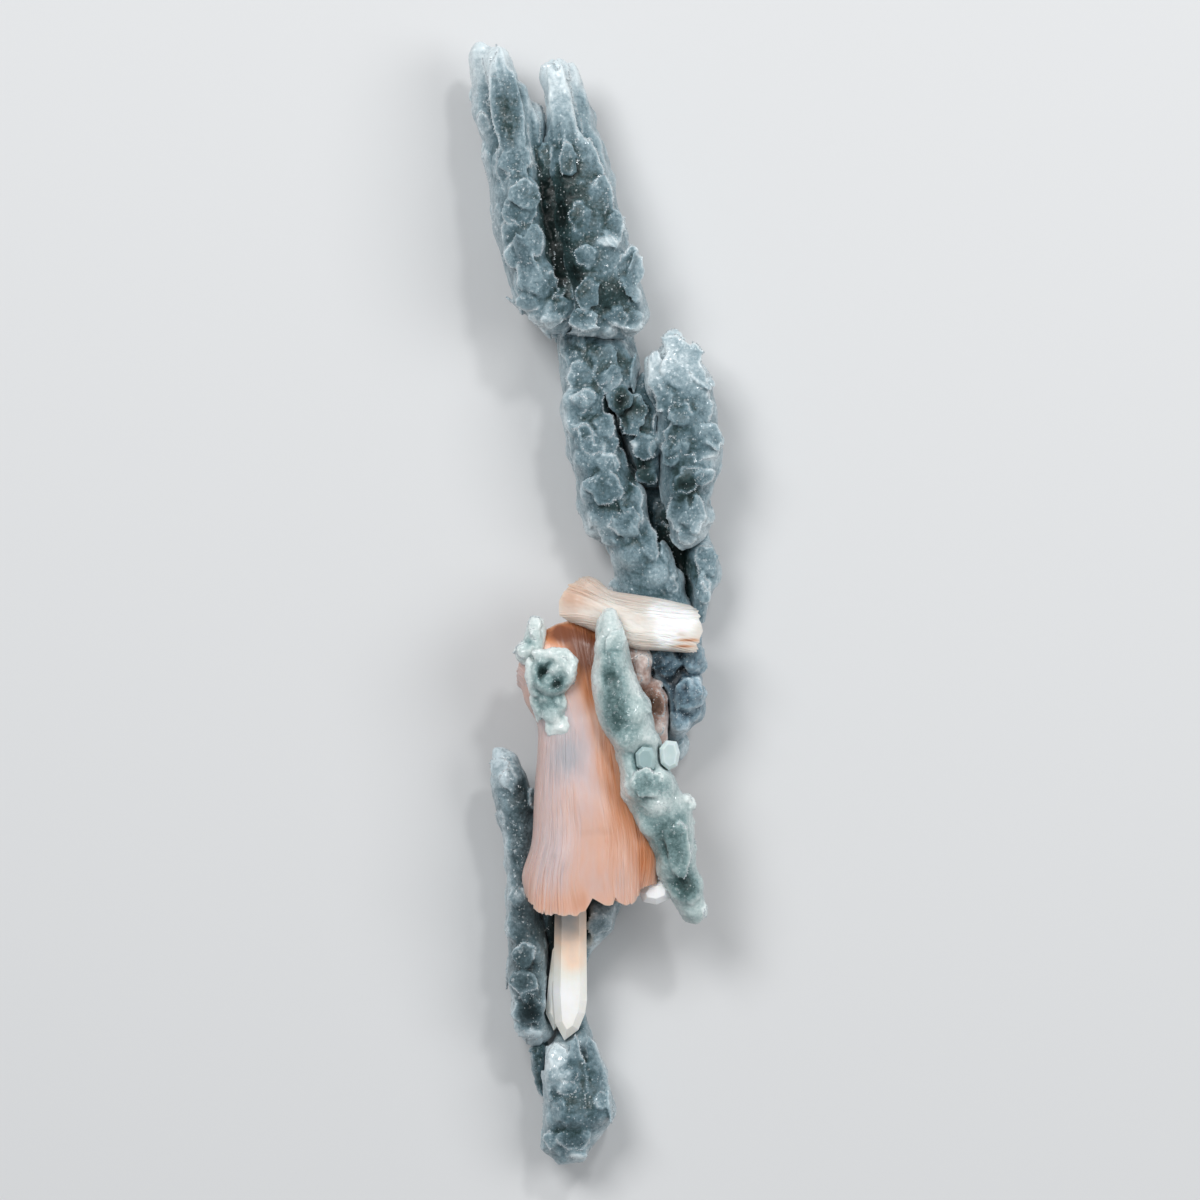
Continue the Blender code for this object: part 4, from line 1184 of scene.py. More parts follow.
@dataclass
class CutCrystal:
    """A crystal with flat faces, taken from its solid with softened edges.

    Attributes:
        node: CAD node whose shape the crystal takes.
        slot: Slot of the record; not used.
        spots: Spots of tone.
        tone: Tone of a plain spot.
        edge: Width of the softened edges in millimetres.
        rim: How much paler the edges are.
        rise: How much taller than its solid the crystal stands, in millimetres.
        cuts: Rounds of subdividing, for the tones.
    """

    node: str
    slot: Slot
    spots: list[Spot] = field(default_factory=list)
    tone: float = 0.5
    edge: float = 0.1
    rim: float = 0.14
    rise: float = 0.0
    cuts: int = 4

    def build(self, finish: bpy.types.Material) -> None:
        """Build the crystal."""
        bm = solid_in_mm(self.node)
        bmesh.ops.dissolve_limit(bm, angle_limit=math.radians(1), verts=bm.verts, edges=bm.edges)
        heights = [vert.co.z for vert in bm.verts]
        middle = (min(heights) + max(heights)) / 2
        upper = [vert for vert in bm.verts if vert.co.z > middle]
        bmesh.ops.translate(bm, verts=upper, vec=(0, 0, self.rise))
        sharp = [edge for edge in bm.edges if edge.calc_face_angle(0) > math.radians(15)]
        bmesh.ops.bevel(
            bm, geom=sharp, offset=self.edge, segments=2, profile=0.5, affect="EDGES", material=-1, clamp_overlap=True
        )
        pale = bm.verts.layers.float.new("pale")
        for vert in bm.verts:
            vert[pale] = 1.0
        known = set(bm.verts)
        flat = [face for face in bm.faces if face.calc_area() > 1.0]
        bmesh.ops.inset_individual(bm, faces=flat, thickness=0.14, depth=-0.01, use_even_offset=True)
        for vert in bm.verts:
            if vert not in known:
                vert[pale] = 0.0
        bmesh.ops.triangulate(bm, faces=bm.faces)
        for _ in range(self.cuts):
            long = [edge for edge in bm.edges if edge.calc_length() > 0.8]
            bmesh.ops.subdivide_edges(bm, edges=long, cuts=1)
            bmesh.ops.triangulate(bm, faces=[face for face in bm.faces if len(face.verts) > 3])
        rim = np.array([vert[pale] for vert in bm.verts]) * self.rim
        piece = as_piece(f"{self.node}_faces", bm)
        points = points_of(piece.data)
        store(piece.data, "tone", np.clip(tone_from(self.spots, points) + self.tone + rim, 0, 1))
        finish_piece(piece, finish, (self.node,))


# Pale tips, dark cores and scales of every branch, read off the specimen's front.
UPPER_LEFT = Branch(
    node="upper_left_finger",
    slot=Slot.CHALCEDONY,
    seed=11,
    scales=[
        Scale(-12.9, 72.0, 2.4, 11.0, 180, 8, 10, 0.7),
        Scale(-12.0, 66.1, 2.7, 1.9, -30),
        Scale(-10.8, 60.8, 2.8, 2.3, 60),
        Scale(-11.4, 58.4, 2.6, 2.2, -90),
        Scale(-9.0, 53.9, 1.5, 2.4, -20, 13),
        Scale(-12.0, 51.6, 1.8, 1.9, 170),
        Scale(-9.9, 48.4, 2.2, 2.4, 120),
        Scale(-7.1, 46.8, 2.2, 2.4, 20),
        Scale(-10.2, 44.7, 1.8, 1.6, -110),
        Scale(-8.6, 42.4, 1.7, 1.5, -80, 11),
        Scale(-6.4, 42.0, 1.8, 1.5, -90, 11),
        Scale(-4.6, 43.8, 1.7, 1.7, -60),
        Scale(-9.0, 71.0, 0.8, 3.2, 20),
    ],
    spots=[
        Spot(-18.0, 81.0, 3.4, 7.0, 0.6),
        Spot(-14.5, 82.0, 2.8, 4.0, 0.55),
        Spot(-13.2, 73.6, 2.0, 5.0, -0.4),
        Spot(-16.6, 70.0, 1.2, 5.0, 0.15),
        Spot(-8.7, 73.0, 1.8, 3.0, 0.55),
        Spot(-10.5, 60.0, 3.4, 4.5, 0.10),
        # Painted shade: these two darkest spots lie along the crack between this finger and the upper right one.
        Spot(-6.4, 60.0, 1.7, 7.0, -1.1),
        Spot(-4.8, 51.0, 1.8, 6.0, -1.1),
        Spot(-9.5, 48.0, 2.5, 3.0, 0.15),
        Spot(-8.0, 42.0, 4.5, 2.0, 0.45),
    ],
    scattered=60,
    lumps=[
        Lump(-7.1, 65.0, 13.5, 1.5, 4.4, 1.0, 6),
        Lump(-6.2, 58.5, 14.1, 1.6, 4.4, 1.0, 6),
        Lump(-5.0, 52.0, 14.3, 1.6, 4.4, 1.0, 8),
        Lump(-3.7, 45.6, 14.3, 1.5, 3.8, 1.0, 8),
    ],
    ridges=[
        Ridge(((-17.2, 81.7), (-16.1, 78.0), (-15.2, 74.4), (-14.4, 68.6), (-14.9, 64.9), (-13.7, 61.2))),
        Ridge(((-10.0, 71.6), (-9.4, 67.2), (-8.8, 64.6))),
    ],
    druse=900,
    sparkling=[Spot(-8.0, 42.0, 4.0, 1.6, 0.8), Spot(-12.0, 50.8, 1.2, 1.0, 0.6)],
)

UPPER_RIGHT = Branch(
    node="upper_right_finger",
    slot=Slot.CHALCEDONY,
    seed=12,
    scales=[
        Scale(-5.0, 73.6, 1.9, 7.6, 0, 8, 10, 0.7),
        Scale(-0.6, 64.5, 1.8, 6.0, 10, 6, 12),
        Scale(0.9, 60.2, 2.1, 4.0, 60),
        Scale(1.8, 53.7, 1.3, 0.8, 90, 13),
        Scale(-1.3, 51.7, 1.7, 1.8, 200, 8),
        Scale(-1.0, 45.9, 2.0, 2.3, 180, 8),
        Scale(-1.9, 42.2, 2.3, 1.7, -90),
        Scale(5.5, 41.9, 2.1, 1.7, -90, 10),
        Scale(3.2, 42.6, 1.6, 1.5, -60),
        Scale(5.4, 49.6, 2.2, 3.2, 150),
        Scale(-2.2, 57.5, 1.6, 2.4, 160),
        Scale(2.8, 56.0, 1.6, 2.2, -60),
        Scale(-4.0, 66.0, 1.4, 2.6, 150),
    ],
    spots=[
        Spot(-6.0, 79.0, 2.6, 6.0, 0.9),
        Spot(-3.2, 79.5, 1.8, 6.0, 0.5),
        Spot(-2.0, 70.0, 2.4, 4.0, 0.2),
        Spot(-3.0, 62.0, 2.0, 6.0, -0.35),
        # Painted shade: these two darkest spots lie along the crack between this finger and the upper left one.
        Spot(-5.4, 57.0, 2.0, 7.0, -1.0),
        Spot(-3.4, 48.0, 1.7, 4.0, -1.0),
        Spot(1.8, 53.7, 1.2, 0.9, 0.9),
        Spot(2.4, 46.2, 1.8, 1.8, -0.5),
        Spot(5.4, 50.0, 2.4, 5.0, 0.25),
        Spot(4.8, 42.4, 1.2, 1.2, -0.6),
        Spot(6.5, 41.0, 2.5, 1.4, 0.55),
        Spot(0.0, 40.8, 4.0, 1.2, 0.4),
    ],
    scattered=50,
    ridges=[Ridge(((-4.0, 79.6), (-3.3, 75.6), (-1.9, 71.6), (-1.9, 69.5)))],
    druse=800,
    sparkling=[Spot(5.0, 41.5, 3.5, 1.8, 0.8), Spot(-1.0, 40.5, 3.0, 1.2, 0.8)],
)

MAIN_STEM = Branch(
    node="main_stem",
    slot=Slot.CHALCEDONY,
    seed=13,
    scales=[
        Scale(1.5, 35.6, 2.0, 2.8, -90, 7),
        Scale(2.4, 33.3, 1.8, 2.0, -80, 10),
        Scale(-2.0, 33.9, 2.1, 2.1, 170, 8),
        Scale(-1.5, 30.4, 1.8, 1.5, 100),
        Scale(1.4, 26.7, 1.7, 2.1, 10),
        Scale(2.3, 23.8, 1.5, 1.9, 0),
        Scale(-0.2, 23.8, 1.7, 1.8, -90),
        Scale(2.0, 20.7, 1.8, 1.7, 40, 8),
        Scale(1.4, 16.9, 3.0, 2.6, -10, 8),
        Scale(4.2, 21.5, 0.9, 1.6, 20),
        Scale(5.5, 14.9, 2.3, 3.1, 0, 8),
        Scale(4.6, 11.4, 2.4, 2.0, 160),
        Scale(3.1, 2.6, 1.6, 0.9, 140, 10),
        Scale(8.2, 9.0, 1.8, 3.0, 20),
    ],
    spots=[
        Spot(-1.0, 38.0, 2.0, 2.0, -0.55),
        Spot(4.5, 36.5, 2.0, 2.0, -0.2),
        Spot(0.4, 33.0, 0.9, 2.6, -0.5),
        Spot(2.4, 32.4, 1.6, 1.2, 0.3),
        Spot(-4.0, 30.0, 1.2, 6.0, 0.2),
        Spot(2.2, 29.6, 1.4, 1.6, -0.9),
        Spot(4.0, 24.0, 0.9, 4.0, -0.8),
        Spot(5.6, 18.6, 1.1, 2.0, -0.9),
        Spot(0.0, 11.0, 3.0, 2.6, 0.35),
        Spot(8.0, 5.0, 4.0, 4.0, 0.2),
        Spot(3.0, 14.0, 2.4, 1.4, -0.2),
    ],
    scattered=50,
    druse=900,
    sparkling=[Spot(0.2, 11.0, 2.4, 2.2, 1.0), Spot(-2.0, 16.0, 1.4, 3.0, 0.3)],
)

INNER_LOBE = Branch(
    node="inner_lobe",
    slot=Slot.CHALCEDONY,
    seed=14,
    scales=[
        Scale(5.6, 28.2, 2.4, 3.2, 200, 8),
        Scale(7.2, 23.4, 2.4, 2.2, -120, 8),
        Scale(10.1, 20.7, 1.35, 1.35, 60, 8),
        Scale(7.6, 18.9, 1.7, 1.3, -90, 8),
    ],
    spots=[
        Spot(4.0, 30.6, 1.4, 2.2, -0.75),
        Spot(3.6, 26.0, 1.0, 4.0, -0.6),
        Spot(6.4, 20.2, 2.0, 1.8, -0.6),
        Spot(8.4, 17.8, 2.0, 1.0, -0.7),
        Spot(6.0, 23.5, 0.5, 0.5, 0.9),
        Spot(7.4, 31.0, 2.0, 3.0, -0.1),
    ],
    scattered=12,
    lumps=[Lump(3.6, 30.4, 12.0, 2.0, 2.2, 1.5)],
    druse=220,
    lumpy=0.2,
    tone=-0.12,
)

RIGHT_LOBE = Branch(
    node="right_lobe",
    slot=Slot.CHALCEDONY,
    seed=15,
    scales=[
        Scale(9.4, 33.8, 1.7, 3.6, 170, 7, 6, 0.5),
        Scale(13.4, 35.2, 3.4, 5.0, 40, 5, 12, 0.4),
        Scale(10.3, 31.0, 1.6, 2.4, 190, 8),
        Scale(12.6, 28.0, 2.1, 1.8, 90, 8),
        Scale(16.3, 29.0, 1.8, 2.6, 20, 8),
        Scale(16.0, 24.0, 3.0, 3.0, -90, 8),
        Scale(12.2, 24.2, 2.0, 2.6, 180, 7),
        Scale(16.4, 18.6, 1.7, 1.4, 0, 11),
        Scale(14.2, 18.8, 1.6, 1.3, 80, 8),
        Scale(12.6, 13.5, 2.1, 3.0, 190, 7),
        Scale(15.4, 12.6, 1.4, 2.8, 0, 10),
        Scale(13.7, 9.6, 1.5, 1.6, -100, 10),
    ],
    spots=[
        Spot(12.5, 37.5, 3.5, 4.0, 0.75),
        Spot(9.0, 34.5, 2.0, 3.0, 0.6),
        Spot(14.5, 33.0, 3.0, 3.5, 0.35),
        Spot(13.4, 28.8, 2.4, 1.8, -0.15),
        Spot(16.4, 24.0, 2.6, 2.6, 0.25),
        Spot(17.4, 21.4, 1.4, 1.2, 0.5),
        Spot(13.3, 17.2, 1.9, 1.8, -0.8),
        Spot(11.0, 22.0, 1.2, 3.0, -0.3),
        Spot(15.8, 10.8, 1.4, 2.2, 0.5),
        Spot(13.4, 8.4, 1.4, 1.0, 0.5),
        Spot(12.6, 12.6, 1.6, 2.4, 0.15),
    ],
    scattered=30,
    ridges=[
        Ridge(((8.0, 35.6), (8.0, 32.7), (8.1, 30.1), (9.4, 28.7))),
        Ridge(((10.4, 37.6), (10.9, 35.6))),
    ],
    druse=700,
    sparkling=[Spot(16.5, 19.5, 1.6, 2.4, 0.6), Spot(15.6, 10.6, 1.4, 2.0, 0.9)],
)

RIGHT_LOWER_BLADE = Branch(
    node="right_lower_blade",
    slot=Slot.CHALCEDONY,
    seed=16,
    scales=[Scale(16.9, 6.0, 1.7, 2.6, 150, 8), Scale(16.2, 1.8, 1.2, 2.4, 10, 8)],
    spots=[
        Spot(17.2, 5.6, 1.8, 3.0, 0.25),
        Spot(11.2, 8.0, 2.6, 6.0, -1.0),
        Spot(13.6, 4.0, 1.4, 4.0, -0.7),
    ],
    scattered=12,
    ridges=[Ridge(((14.9, 7.0), (15.5, 4.0), (16.9, 1.5)))],
    druse=260,
    tone=-0.05,
)

SIDE_BALLS = Branch(
    node="side_balls",
    slot=Slot.DARK_CHALCEDONY,
    seed=17,
    lumps=[
        Lump(10.5, -9.3, 12.6, 2.6, 2.5, 2.6),
        Lump(14.6, -8.9, 12.0, 2.0, 2.4, 2.6),
        Lump(14.0, -13.8, 12.2, 2.7, 2.9, 3.0),
        Lump(12.8, -18.0, 11.4, 1.7, 2.0, 2.2),
    ],
    spots=[
        Spot(9.4, -9.8, 1.6, 1.8, -0.5),
        Spot(13.8, -9.0, 1.6, 1.6, 0.15),
        Spot(14.6, -12.0, 1.2, 2.0, 0.35),
        Spot(14.0, -16.5, 1.4, 1.8, 0.3),
        Spot(11.4, -13.2, 1.0, 2.4, -0.3),
        Spot(13.0, -19.4, 1.6, 1.0, 0.4),
    ],
    scattered=0,
    druse=700,
    lumpy=0.1,
    softening=6,
)

BACK_STUB = Branch(
    node="back_stub",
    slot=Slot.CHALCEDONY,
    seed=18,
    spots=[Spot(12.8, -22.6, 1.6, 1.4, 0.3), Spot(11.4, -18.6, 1.4, 2.4, -0.4)],
    scattered=9,
    scale_size=(0.7, 1.2),
    druse=80,
    lumpy=0.2,
)

BACK_STEM = Branch(
    node="back_stem",
    slot=Slot.DARK_CHALCEDONY,
    seed=19,
    scales=[Scale(0.9, -48.6, 1.9, 1.8, -60), Scale(-1.0, -51.0, 1.4, 1.1, -80, 10)],
    spots=[
        Spot(1.4, -48.0, 2.0, 2.4, 0.2),
        Spot(-0.6, -51.6, 1.2, 0.9, 0.55),
        Spot(-7.0, -50.5, 1.6, 3.4, -0.8),
    ],
    scattered=30,
    druse=420,
    tone=0.1,
    grain=0.4,
)

FRONT_FINGER = Branch(
    node="front_finger",
    slot=Slot.PALE_CHALCEDONY,
    seed=20,
    scales=[
        Scale(7.7, -27.0, 2.2, 2.4, 90, 5),
        Scale(12.6, -37.0, 1.8, 4.8, 10, 5, 10),
    ],
    lumps=[Lump(13.1, -30.4, 16.8, 2.1, 1.9, 1.6), Lump(13.2, -34.0, 15.6, 1.4, 3.0, 1.4, -8)],
    spots=[
        Spot(2.4, -3.4, 2.0, 3.4, 0.55),
        Spot(2.2, -9.4, 1.2, 3.0, -0.4),
        Spot(2.6, -14.0, 1.4, 3.4, -0.5),
        Spot(4.0, -18.6, 1.6, 2.6, -0.4),
        Spot(0.2, -11.0, 0.9, 5.0, 0.5),
        Spot(5.9, -13.6, 1.1, 4.0, 0.5),
        Spot(7.8, -19.0, 1.1, 2.6, 0.45),
        Spot(4.2, -27.4, 1.2, 2.6, 0.55),
        Spot(7.8, -27.0, 1.6, 1.6, -0.25),
        Spot(9.6, -30.2, 2.4, 1.6, 0.75),
        Spot(13.6, -29.6, 1.8, 1.4, 0.45),
        Spot(11.6, -35.6, 2.4, 4.0, -0.45),
        Spot(13.6, -42.6, 1.8, 2.2, -0.9),
        Spot(15.2, -45.8, 1.6, 1.4, 0.4),
        Spot(12.6, -46.0, 1.2, 1.4, 0.3),
    ],
    scattered=14,
    scale_size=(0.8, 1.6),
    druse=900,
    sparkling=[
        Spot(9.6, -30.0, 2.4, 1.8, 1.0),
        Spot(4.3, -22.0, 1.2, 0.7, 0.9),
        Spot(4.2, -28.2, 1.0, 2.0, 0.6),
        Spot(3.2, -16.5, 1.0, 1.0, 0.3),
    ],
    lumpy=0.1,
)

LOWER_LEFT_FINGER = Branch(
    node="lower_left_finger",
    slot=Slot.DARK_CHALCEDONY,
    seed=21,
    scales=[
        Scale(-12.9, -26.7, 1.2, 1.7, 90, 8),
        Scale(-11.8, -44.4, 1.3, 1.5, 90, 8),
        Scale(-12.6, -50.0, 1.1, 1.2, 180, 7),
        Scale(-10.6, -53.0, 1.9, 2.0, 60, 7),
        Scale(-11.0, -57.0, 2.2, 1.6, -90, 8),
        Scale(-10.0, -61.2, 2.5, 2.6, 150, 8),
        Scale(-9.6, -65.2, 1.9, 1.1, -90, 8),
    ],
    spots=[
        Spot(-14.4, -23.0, 1.6, 2.0, 0.8),
        Spot(-13.6, -27.0, 1.8, 2.0, 0.5),
        Spot(-10.8, -29.0, 1.4, 4.0, -0.5),
        Spot(-11.6, -37.0, 2.4, 6.0, -0.05),
        Spot(-13.4, -40.0, 0.8, 10.0, 0.3),
        Spot(-11.6, -44.2, 1.0, 1.2, 0.45),
        Spot(-8.2, -48.0, 1.4, 4.0, -0.7),
        Spot(-11.0, -54.0, 2.4, 4.0, -0.3),
        Spot(-9.7, -61.7, 1.7, 1.5, -0.8),
        Spot(-12.4, -61.0, 1.0, 2.4, 0.5),
        Spot(-9.4, -65.4, 2.4, 1.1, 0.9),
    ],
    scattered=30,
    druse=520,
    sparkling=[Spot(-9.0, -65.4, 2.0, 1.0, 0.9)],
    tone=0.2,
)

FOOT_CLUSTER = Branch(
    node="foot_cluster",
    slot=Slot.CHALCEDONY,
    seed=22,
    scales=[
        Scale(-5.6, -68.2, 1.7, 2.0, 90, 7),
        Scale(-4.0, -71.2, 1.4, 1.0, -60, 10),
        Scale(-4.4, -73.0, 1.4, 1.1, -60, 8),
        Scale(-3.0, -80.6, 2.6, 1.8, -90, 8),
        Scale(-2.4, -83.4, 1.3, 0.7, -90, 9),
        Scale(-6.6, -80.8, 1.2, 1.6, 180, 8),
        Scale(0.7, -71.5, 1.5, 6.6, 0, 8, 18, 0.7),
        Scale(-2.6, -70.6, 1.2, 5.4, 0, 6, 6),
    ],
    spots=[
        Spot(-5.6, -68.0, 1.7, 2.0, 0.6),
        Spot(-7.0, -69.4, 0.6, 0.6, 1.0),
        Spot(-5.0, -71.8, 1.6, 2.6, 0.5),
        Spot(-6.8, -75.0, 1.2, 4.0, 0.25),
        Spot(-3.6, -75.6, 1.4, 1.6, -0.4),
        Spot(-2.8, -80.8, 2.2, 1.6, -0.25),
        Spot(1.6, -76.6, 1.6, 3.0, 0.15),
        Spot(-2.6, -83.5, 1.3, 0.6, 1.0),
        Spot(0.4, -80.6, 1.4, 1.0, 0.4),
        Spot(-1.2, -69.0, 1.2, 4.0, -0.2),
    ],
    scattered=18,
    scale_size=(0.8, 1.6),
    druse=520,
    sparkling=[Spot(-5.4, -74.6, 1.4, 1.2, 0.6), Spot(-1.6, -82.6, 2.6, 1.4, 0.7), Spot(-4.2, -71.6, 1.4, 1.2, 0.5)],
    lumpy=0.12,
)

FOOT_BACK_FINGER = Branch(
    node="foot_back_finger",
    slot=Slot.CHALCEDONY,
    seed=23,
    spots=[Spot(-8.4, -66.0, 1.4, 2.0, -0.4)],
    scattered=9,
    scale_size=(0.6, 1.0),
    druse=70,
    lumpy=0.2,
    tone=-0.3,
)

SMALL_WHITE_FINGER = Branch(
    node="small_white_finger",
    slot=Slot.PALE_CHALCEDONY,
    seed=24,
    scales=[Scale(-9.0, -3.6, 1.0, 1.6, 90, 6), Scale(-10.4, -7.4, 1.2, 1.2, 180, 8)],
    spots=[
        Spot(-8.9, -3.6, 2.0, 2.4, 0.55),
        Spot(-10.0, -6.2, 0.7, 0.7, -0.5),
        Spot(-10.4, -8.0, 2.0, 2.0, 0.5),
    ],
    scattered=8,
    scale_size=(0.5, 0.9),
    druse=60,
    lumpy=0.15,
)

HOLLOW_RING = Branch(
    node="hollow_ring",
    slot=Slot.PALE_CHALCEDONY,
    seed=25,
    lumps=[
        Lump(-3.8, -9.6, 19.2, 1.3, 2.1, 1.1),
        Lump(-6.4, -8.0, 19.0, 3.2, 1.2, 1.0),
        Lump(-5.6, -9.8, 19.1, 1.8, 1.5, 0.9),
        Lump(-7.2, -12.0, 18.9, 0.9, 1.8, 0.8, -35),
        Lump(-9.3, -11.2, 17.9, 1.1, 3.2, 1.4, 5),
        Lump(-6.4, -15.2, 17.2, 2.3, 3.4, 1.5, 8),
        Lump(-8.4, -15.0, 16.4, 1.3, 3.4, 1.4, 10),
        Lump(-5.6, -18.4, 17.3, 2.0, 2.0, 1.0),
    ],
    spots=[
        Spot(-5.5, -18.6, 1.8, 1.8, 0.8),
        Spot(-7.0, -15.2, 2.6, 1.8, 0.15),
        Spot(-6.3, -7.8, 3.4, 1.1, 0.6),
        Spot(-3.6, -9.8, 1.0, 1.8, 0.6),
        # Painted shade: dark spots in the ring's open interior, where a recess would lie in shade.
        Spot(-8.2, -10.4, 0.8, 1.3, -0.95),
        Spot(-5.6, -12.7, 1.2, 0.9, -1.0),
        Spot(-5.4, -9.6, 1.2, 1.0, 0.5),
        Spot(-9.8, -11.4, 0.7, 3.0, 0.35),
    ],
    scattered=8,
    scale_size=(0.5, 0.9),
    druse=120,
    lumpy=0.15,
)

FAN = Sheaf(
    node="stilbite_fan",
    slot=Slot.PINK_STILBITE,
    seed=31,
    dish=0.5,
    sections=[
        Section(
            (
                (-10.6, -43.4), (-9.8, -45.0), (-8.8, -46.1), (-7.6, -46.6), (-5.3, -46.95), (-2.8, -46.7),
                (-1.4, -46.3), (-0.7, -45.1), (-0.3, -44.4), (0.4, -44.7), (1.8, -45.6), (2.7, -45.3),
                (3.1, -44.3), (3.6, -45.2), (4.8, -45.5), (5.7, -44.9), (6.5, -44.1), (6.9, -42.9),
                (8.2, -42.4), (9.4, -41.9),
            ),
            13.0, 4.9,
        ),
        Section(((-10.9, -40.8), (-4.0, -41.6), (4.0, -40.4), (9.6, -38.8)), 13.2, 5.0),
        Section(((-9.5, -36.0), (9.1, -34.6)), 13.4, 4.8),
        Section(((-9.1, -28.6), (7.3, -28.4)), 13.6, 4.5),
        Section(((-8.6, -22.2), (6.0, -22.6)), 14.0, 4.0),
        Section(((-8.7, -18.4), (5.4, -17.0)), 14.0, 3.7),
        Section(((-10.4, -15.2), (-3.0, -12.6), (4.8, -12.4)), 14.0, 3.6),
        Section(((-11.0, -13.2), (-10.0, -9.8), (-7.0, -6.8), (-3.0, -6.0), (1.5, -7.2), (4.2, -9.5)), 13.8, 2.8),
        Section(
            (
                (-11.6, -12.6), (-11.7, -10.6), (-10.9, -8.0), (-8.6, -5.4), (-6.6, -3.6), (-4.6, -3.1),
                (-2.0, -3.2), (0.6, -4.4), (2.6, -6.4), (3.8, -8.4),
            ),
            13.4, 1.6,
        ),
    ],
    warm_and_light=[
        Spot(-3.8, -23.0, 2.8, 3.6, -0.44),
        Spot(-7.0, -28.0, 2.6, 8.0, -0.12),
        Spot(-1.0, -30.0, 1.6, 5.0, -0.1),
        Spot(-6.6, -38.0, 2.8, 5.0, -0.16),
        Spot(2.0, -23.0, 2.0, 6.0, 0.26),
        Spot(4.8, -30.0, 2.4, 6.0, 0.36),
        Spot(2.4, -37.0, 1.0, 5.0, 0.12),
        Spot(-1.6, -41.0, 0.8, 4.0, 0.12),
        
        Spot(7.6, -38.0, 2.2, 5.0, 0.36),
        Spot(-3.0, -45.4, 9.0, 2.0, 0.12),
        # Upper lobe: browner and darker, partly the stilbite's own orange and partly painted shade of a lobe turned
        # away from the light.
        Spot(-1.4, -7.0, 3.4, 3.8, 0.75),
        Spot(-5.6, -4.6, 2.4, 1.8, 0.7),
        Spot(-9.4, -7.6, 1.6, 2.4, -0.15),
        Spot(-0.8, -13.0, 1.4, 4.0, 0.36),
        Spot(-11.6, -11.6, 1.4, 2.4, -0.1),
        Spot(-6.0, -17.5, 3.0, 2.4, -0.3),
    ],
)

BOW_TIE = Sheaf(
    node="stilbite_bow_tie",
    slot=Slot.PALE_STILBITE,
    seed=32,
    sections=[
        Section(
            (
                (-1.6, -3.9), (-3.9, -3.0), (-5.2, -2.2), (-5.4, -1.4), (-5.3, 0.4), (-3.8, 2.5),
                (-2.0, 3.6), (-0.8, 3.75),
            ),
            14.2, 1.9,
        ),
        Section(((0.0, -4.6), (-2.4, -1.8), (-2.2, 1.2), (0.4, 3.3)), 14.3, 2.9),
        Section(((2.6, -5.4), (2.2, -2.0), (2.4, 1.7)), 14.1, 2.5),
        Section(((5.4, -7.0), (5.4, -3.0), (5.6, 1.1)), 14.2, 2.8),
        Section(((9.5, -7.4), (9.8, -3.5), (10.0, 0.4)), 14.4, 2.9),
        Section(
            (
                (13.6, -7.7), (15.2, -7.6), (15.6, -5.6), (16.1, -4.3), (15.6, -2.8), (15.5, -1.4),
                (13.9, -0.5),
            ),
            14.6, 2.4,
        ),
    ],
    columns=280,
    rows=80,
    rib=0.16,
    ragged=0.26,
    dish=0.2,
    fullness=5.5,
    warmth_and_light=0.4,
    warm_and_light=[
        Spot(-3.4, 0.8, 3.0, 3.2, 0.2),
        Spot(2.4, -2.0, 1.8, 3.6, -0.14),
        Spot(6.0, -4.0, 2.4, 2.6, -0.16),
        # Painted highlight: these three spots whiten the right facet, where its flat pearly face would mirror the
        # light.
        Spot(9.8, -1.4, 2.0, 1.6, -0.5),
        Spot(12.8, -3.0, 2.6, 2.2, -0.6),
        Spot(10.6, -5.2, 1.8, 1.8, -0.5),
        Spot(14.0, -4.9, 1.9, 0.22, 0.75),
        Spot(13.8, -5.8, 1.9, 0.2, 0.7),
        Spot(13.2, -6.7, 1.6, 0.2, 0.6),
        Spot(6.0, -6.2, 2.4, 1.4, 0.05),
    ],
)

CREAM_BLADE = CutCrystal(
    node="cream_blade",
    slot=Slot.CREAM_STILBITE,
    tone=0.7,
    rim=0.0,
    spots=[
        Spot(-4.0, -46.0, 4.0, 7.0, -0.72),
        Spot(-3.4, -54.0, 1.6, 2.0, -0.2),
        Spot(-4.2, -59.5, 2.8, 3.4, 0.3),
    ],
)
WHITE_CRYSTAL = CutCrystal(node="white_crystal", slot=Slot.WHITE_HEULANDITE, tone=0.7, rise=3.0)
PLATE_FRONT = CutCrystal(node="heulandite_plate_front", slot=Slot.HEULANDITE, tone=0.4, rise=-1.2)
PLATE_SIDE = CutCrystal(node="heulandite_plate_side", slot=Slot.HEULANDITE, tone=0.85, rise=-0.8)
SIDE_CRYSTALS = Branch(
    node="side_crystals",
    slot=Slot.BROWN_STILBITE,
    seed=26,
    scales=[
        Scale(7.0, -9.4, 1.2, 1.6, 60, 8),
        Scale(9.2, -12.2, 1.3, 1.2, 20, 8),
        Scale(9.4, -15.4, 1.2, 1.5, -30, 8),
        Scale(9.3, -18.8, 0.9, 1.2, -60, 7),
    ],
    spots=[
        Spot(6.8, -8.8, 1.8, 2.2, 0.45),
        Spot(9.3, -12.0, 1.2, 1.2, 0.35),
        Spot(9.4, -15.2, 1.6, 1.8, -0.7),
        Spot(9.2, -18.8, 1.0, 1.4, 0.5),
    ],
    scattered=26,
    scale_size=(0.4, 0.8),
    druse=700,
    lumpy=0.3,
)


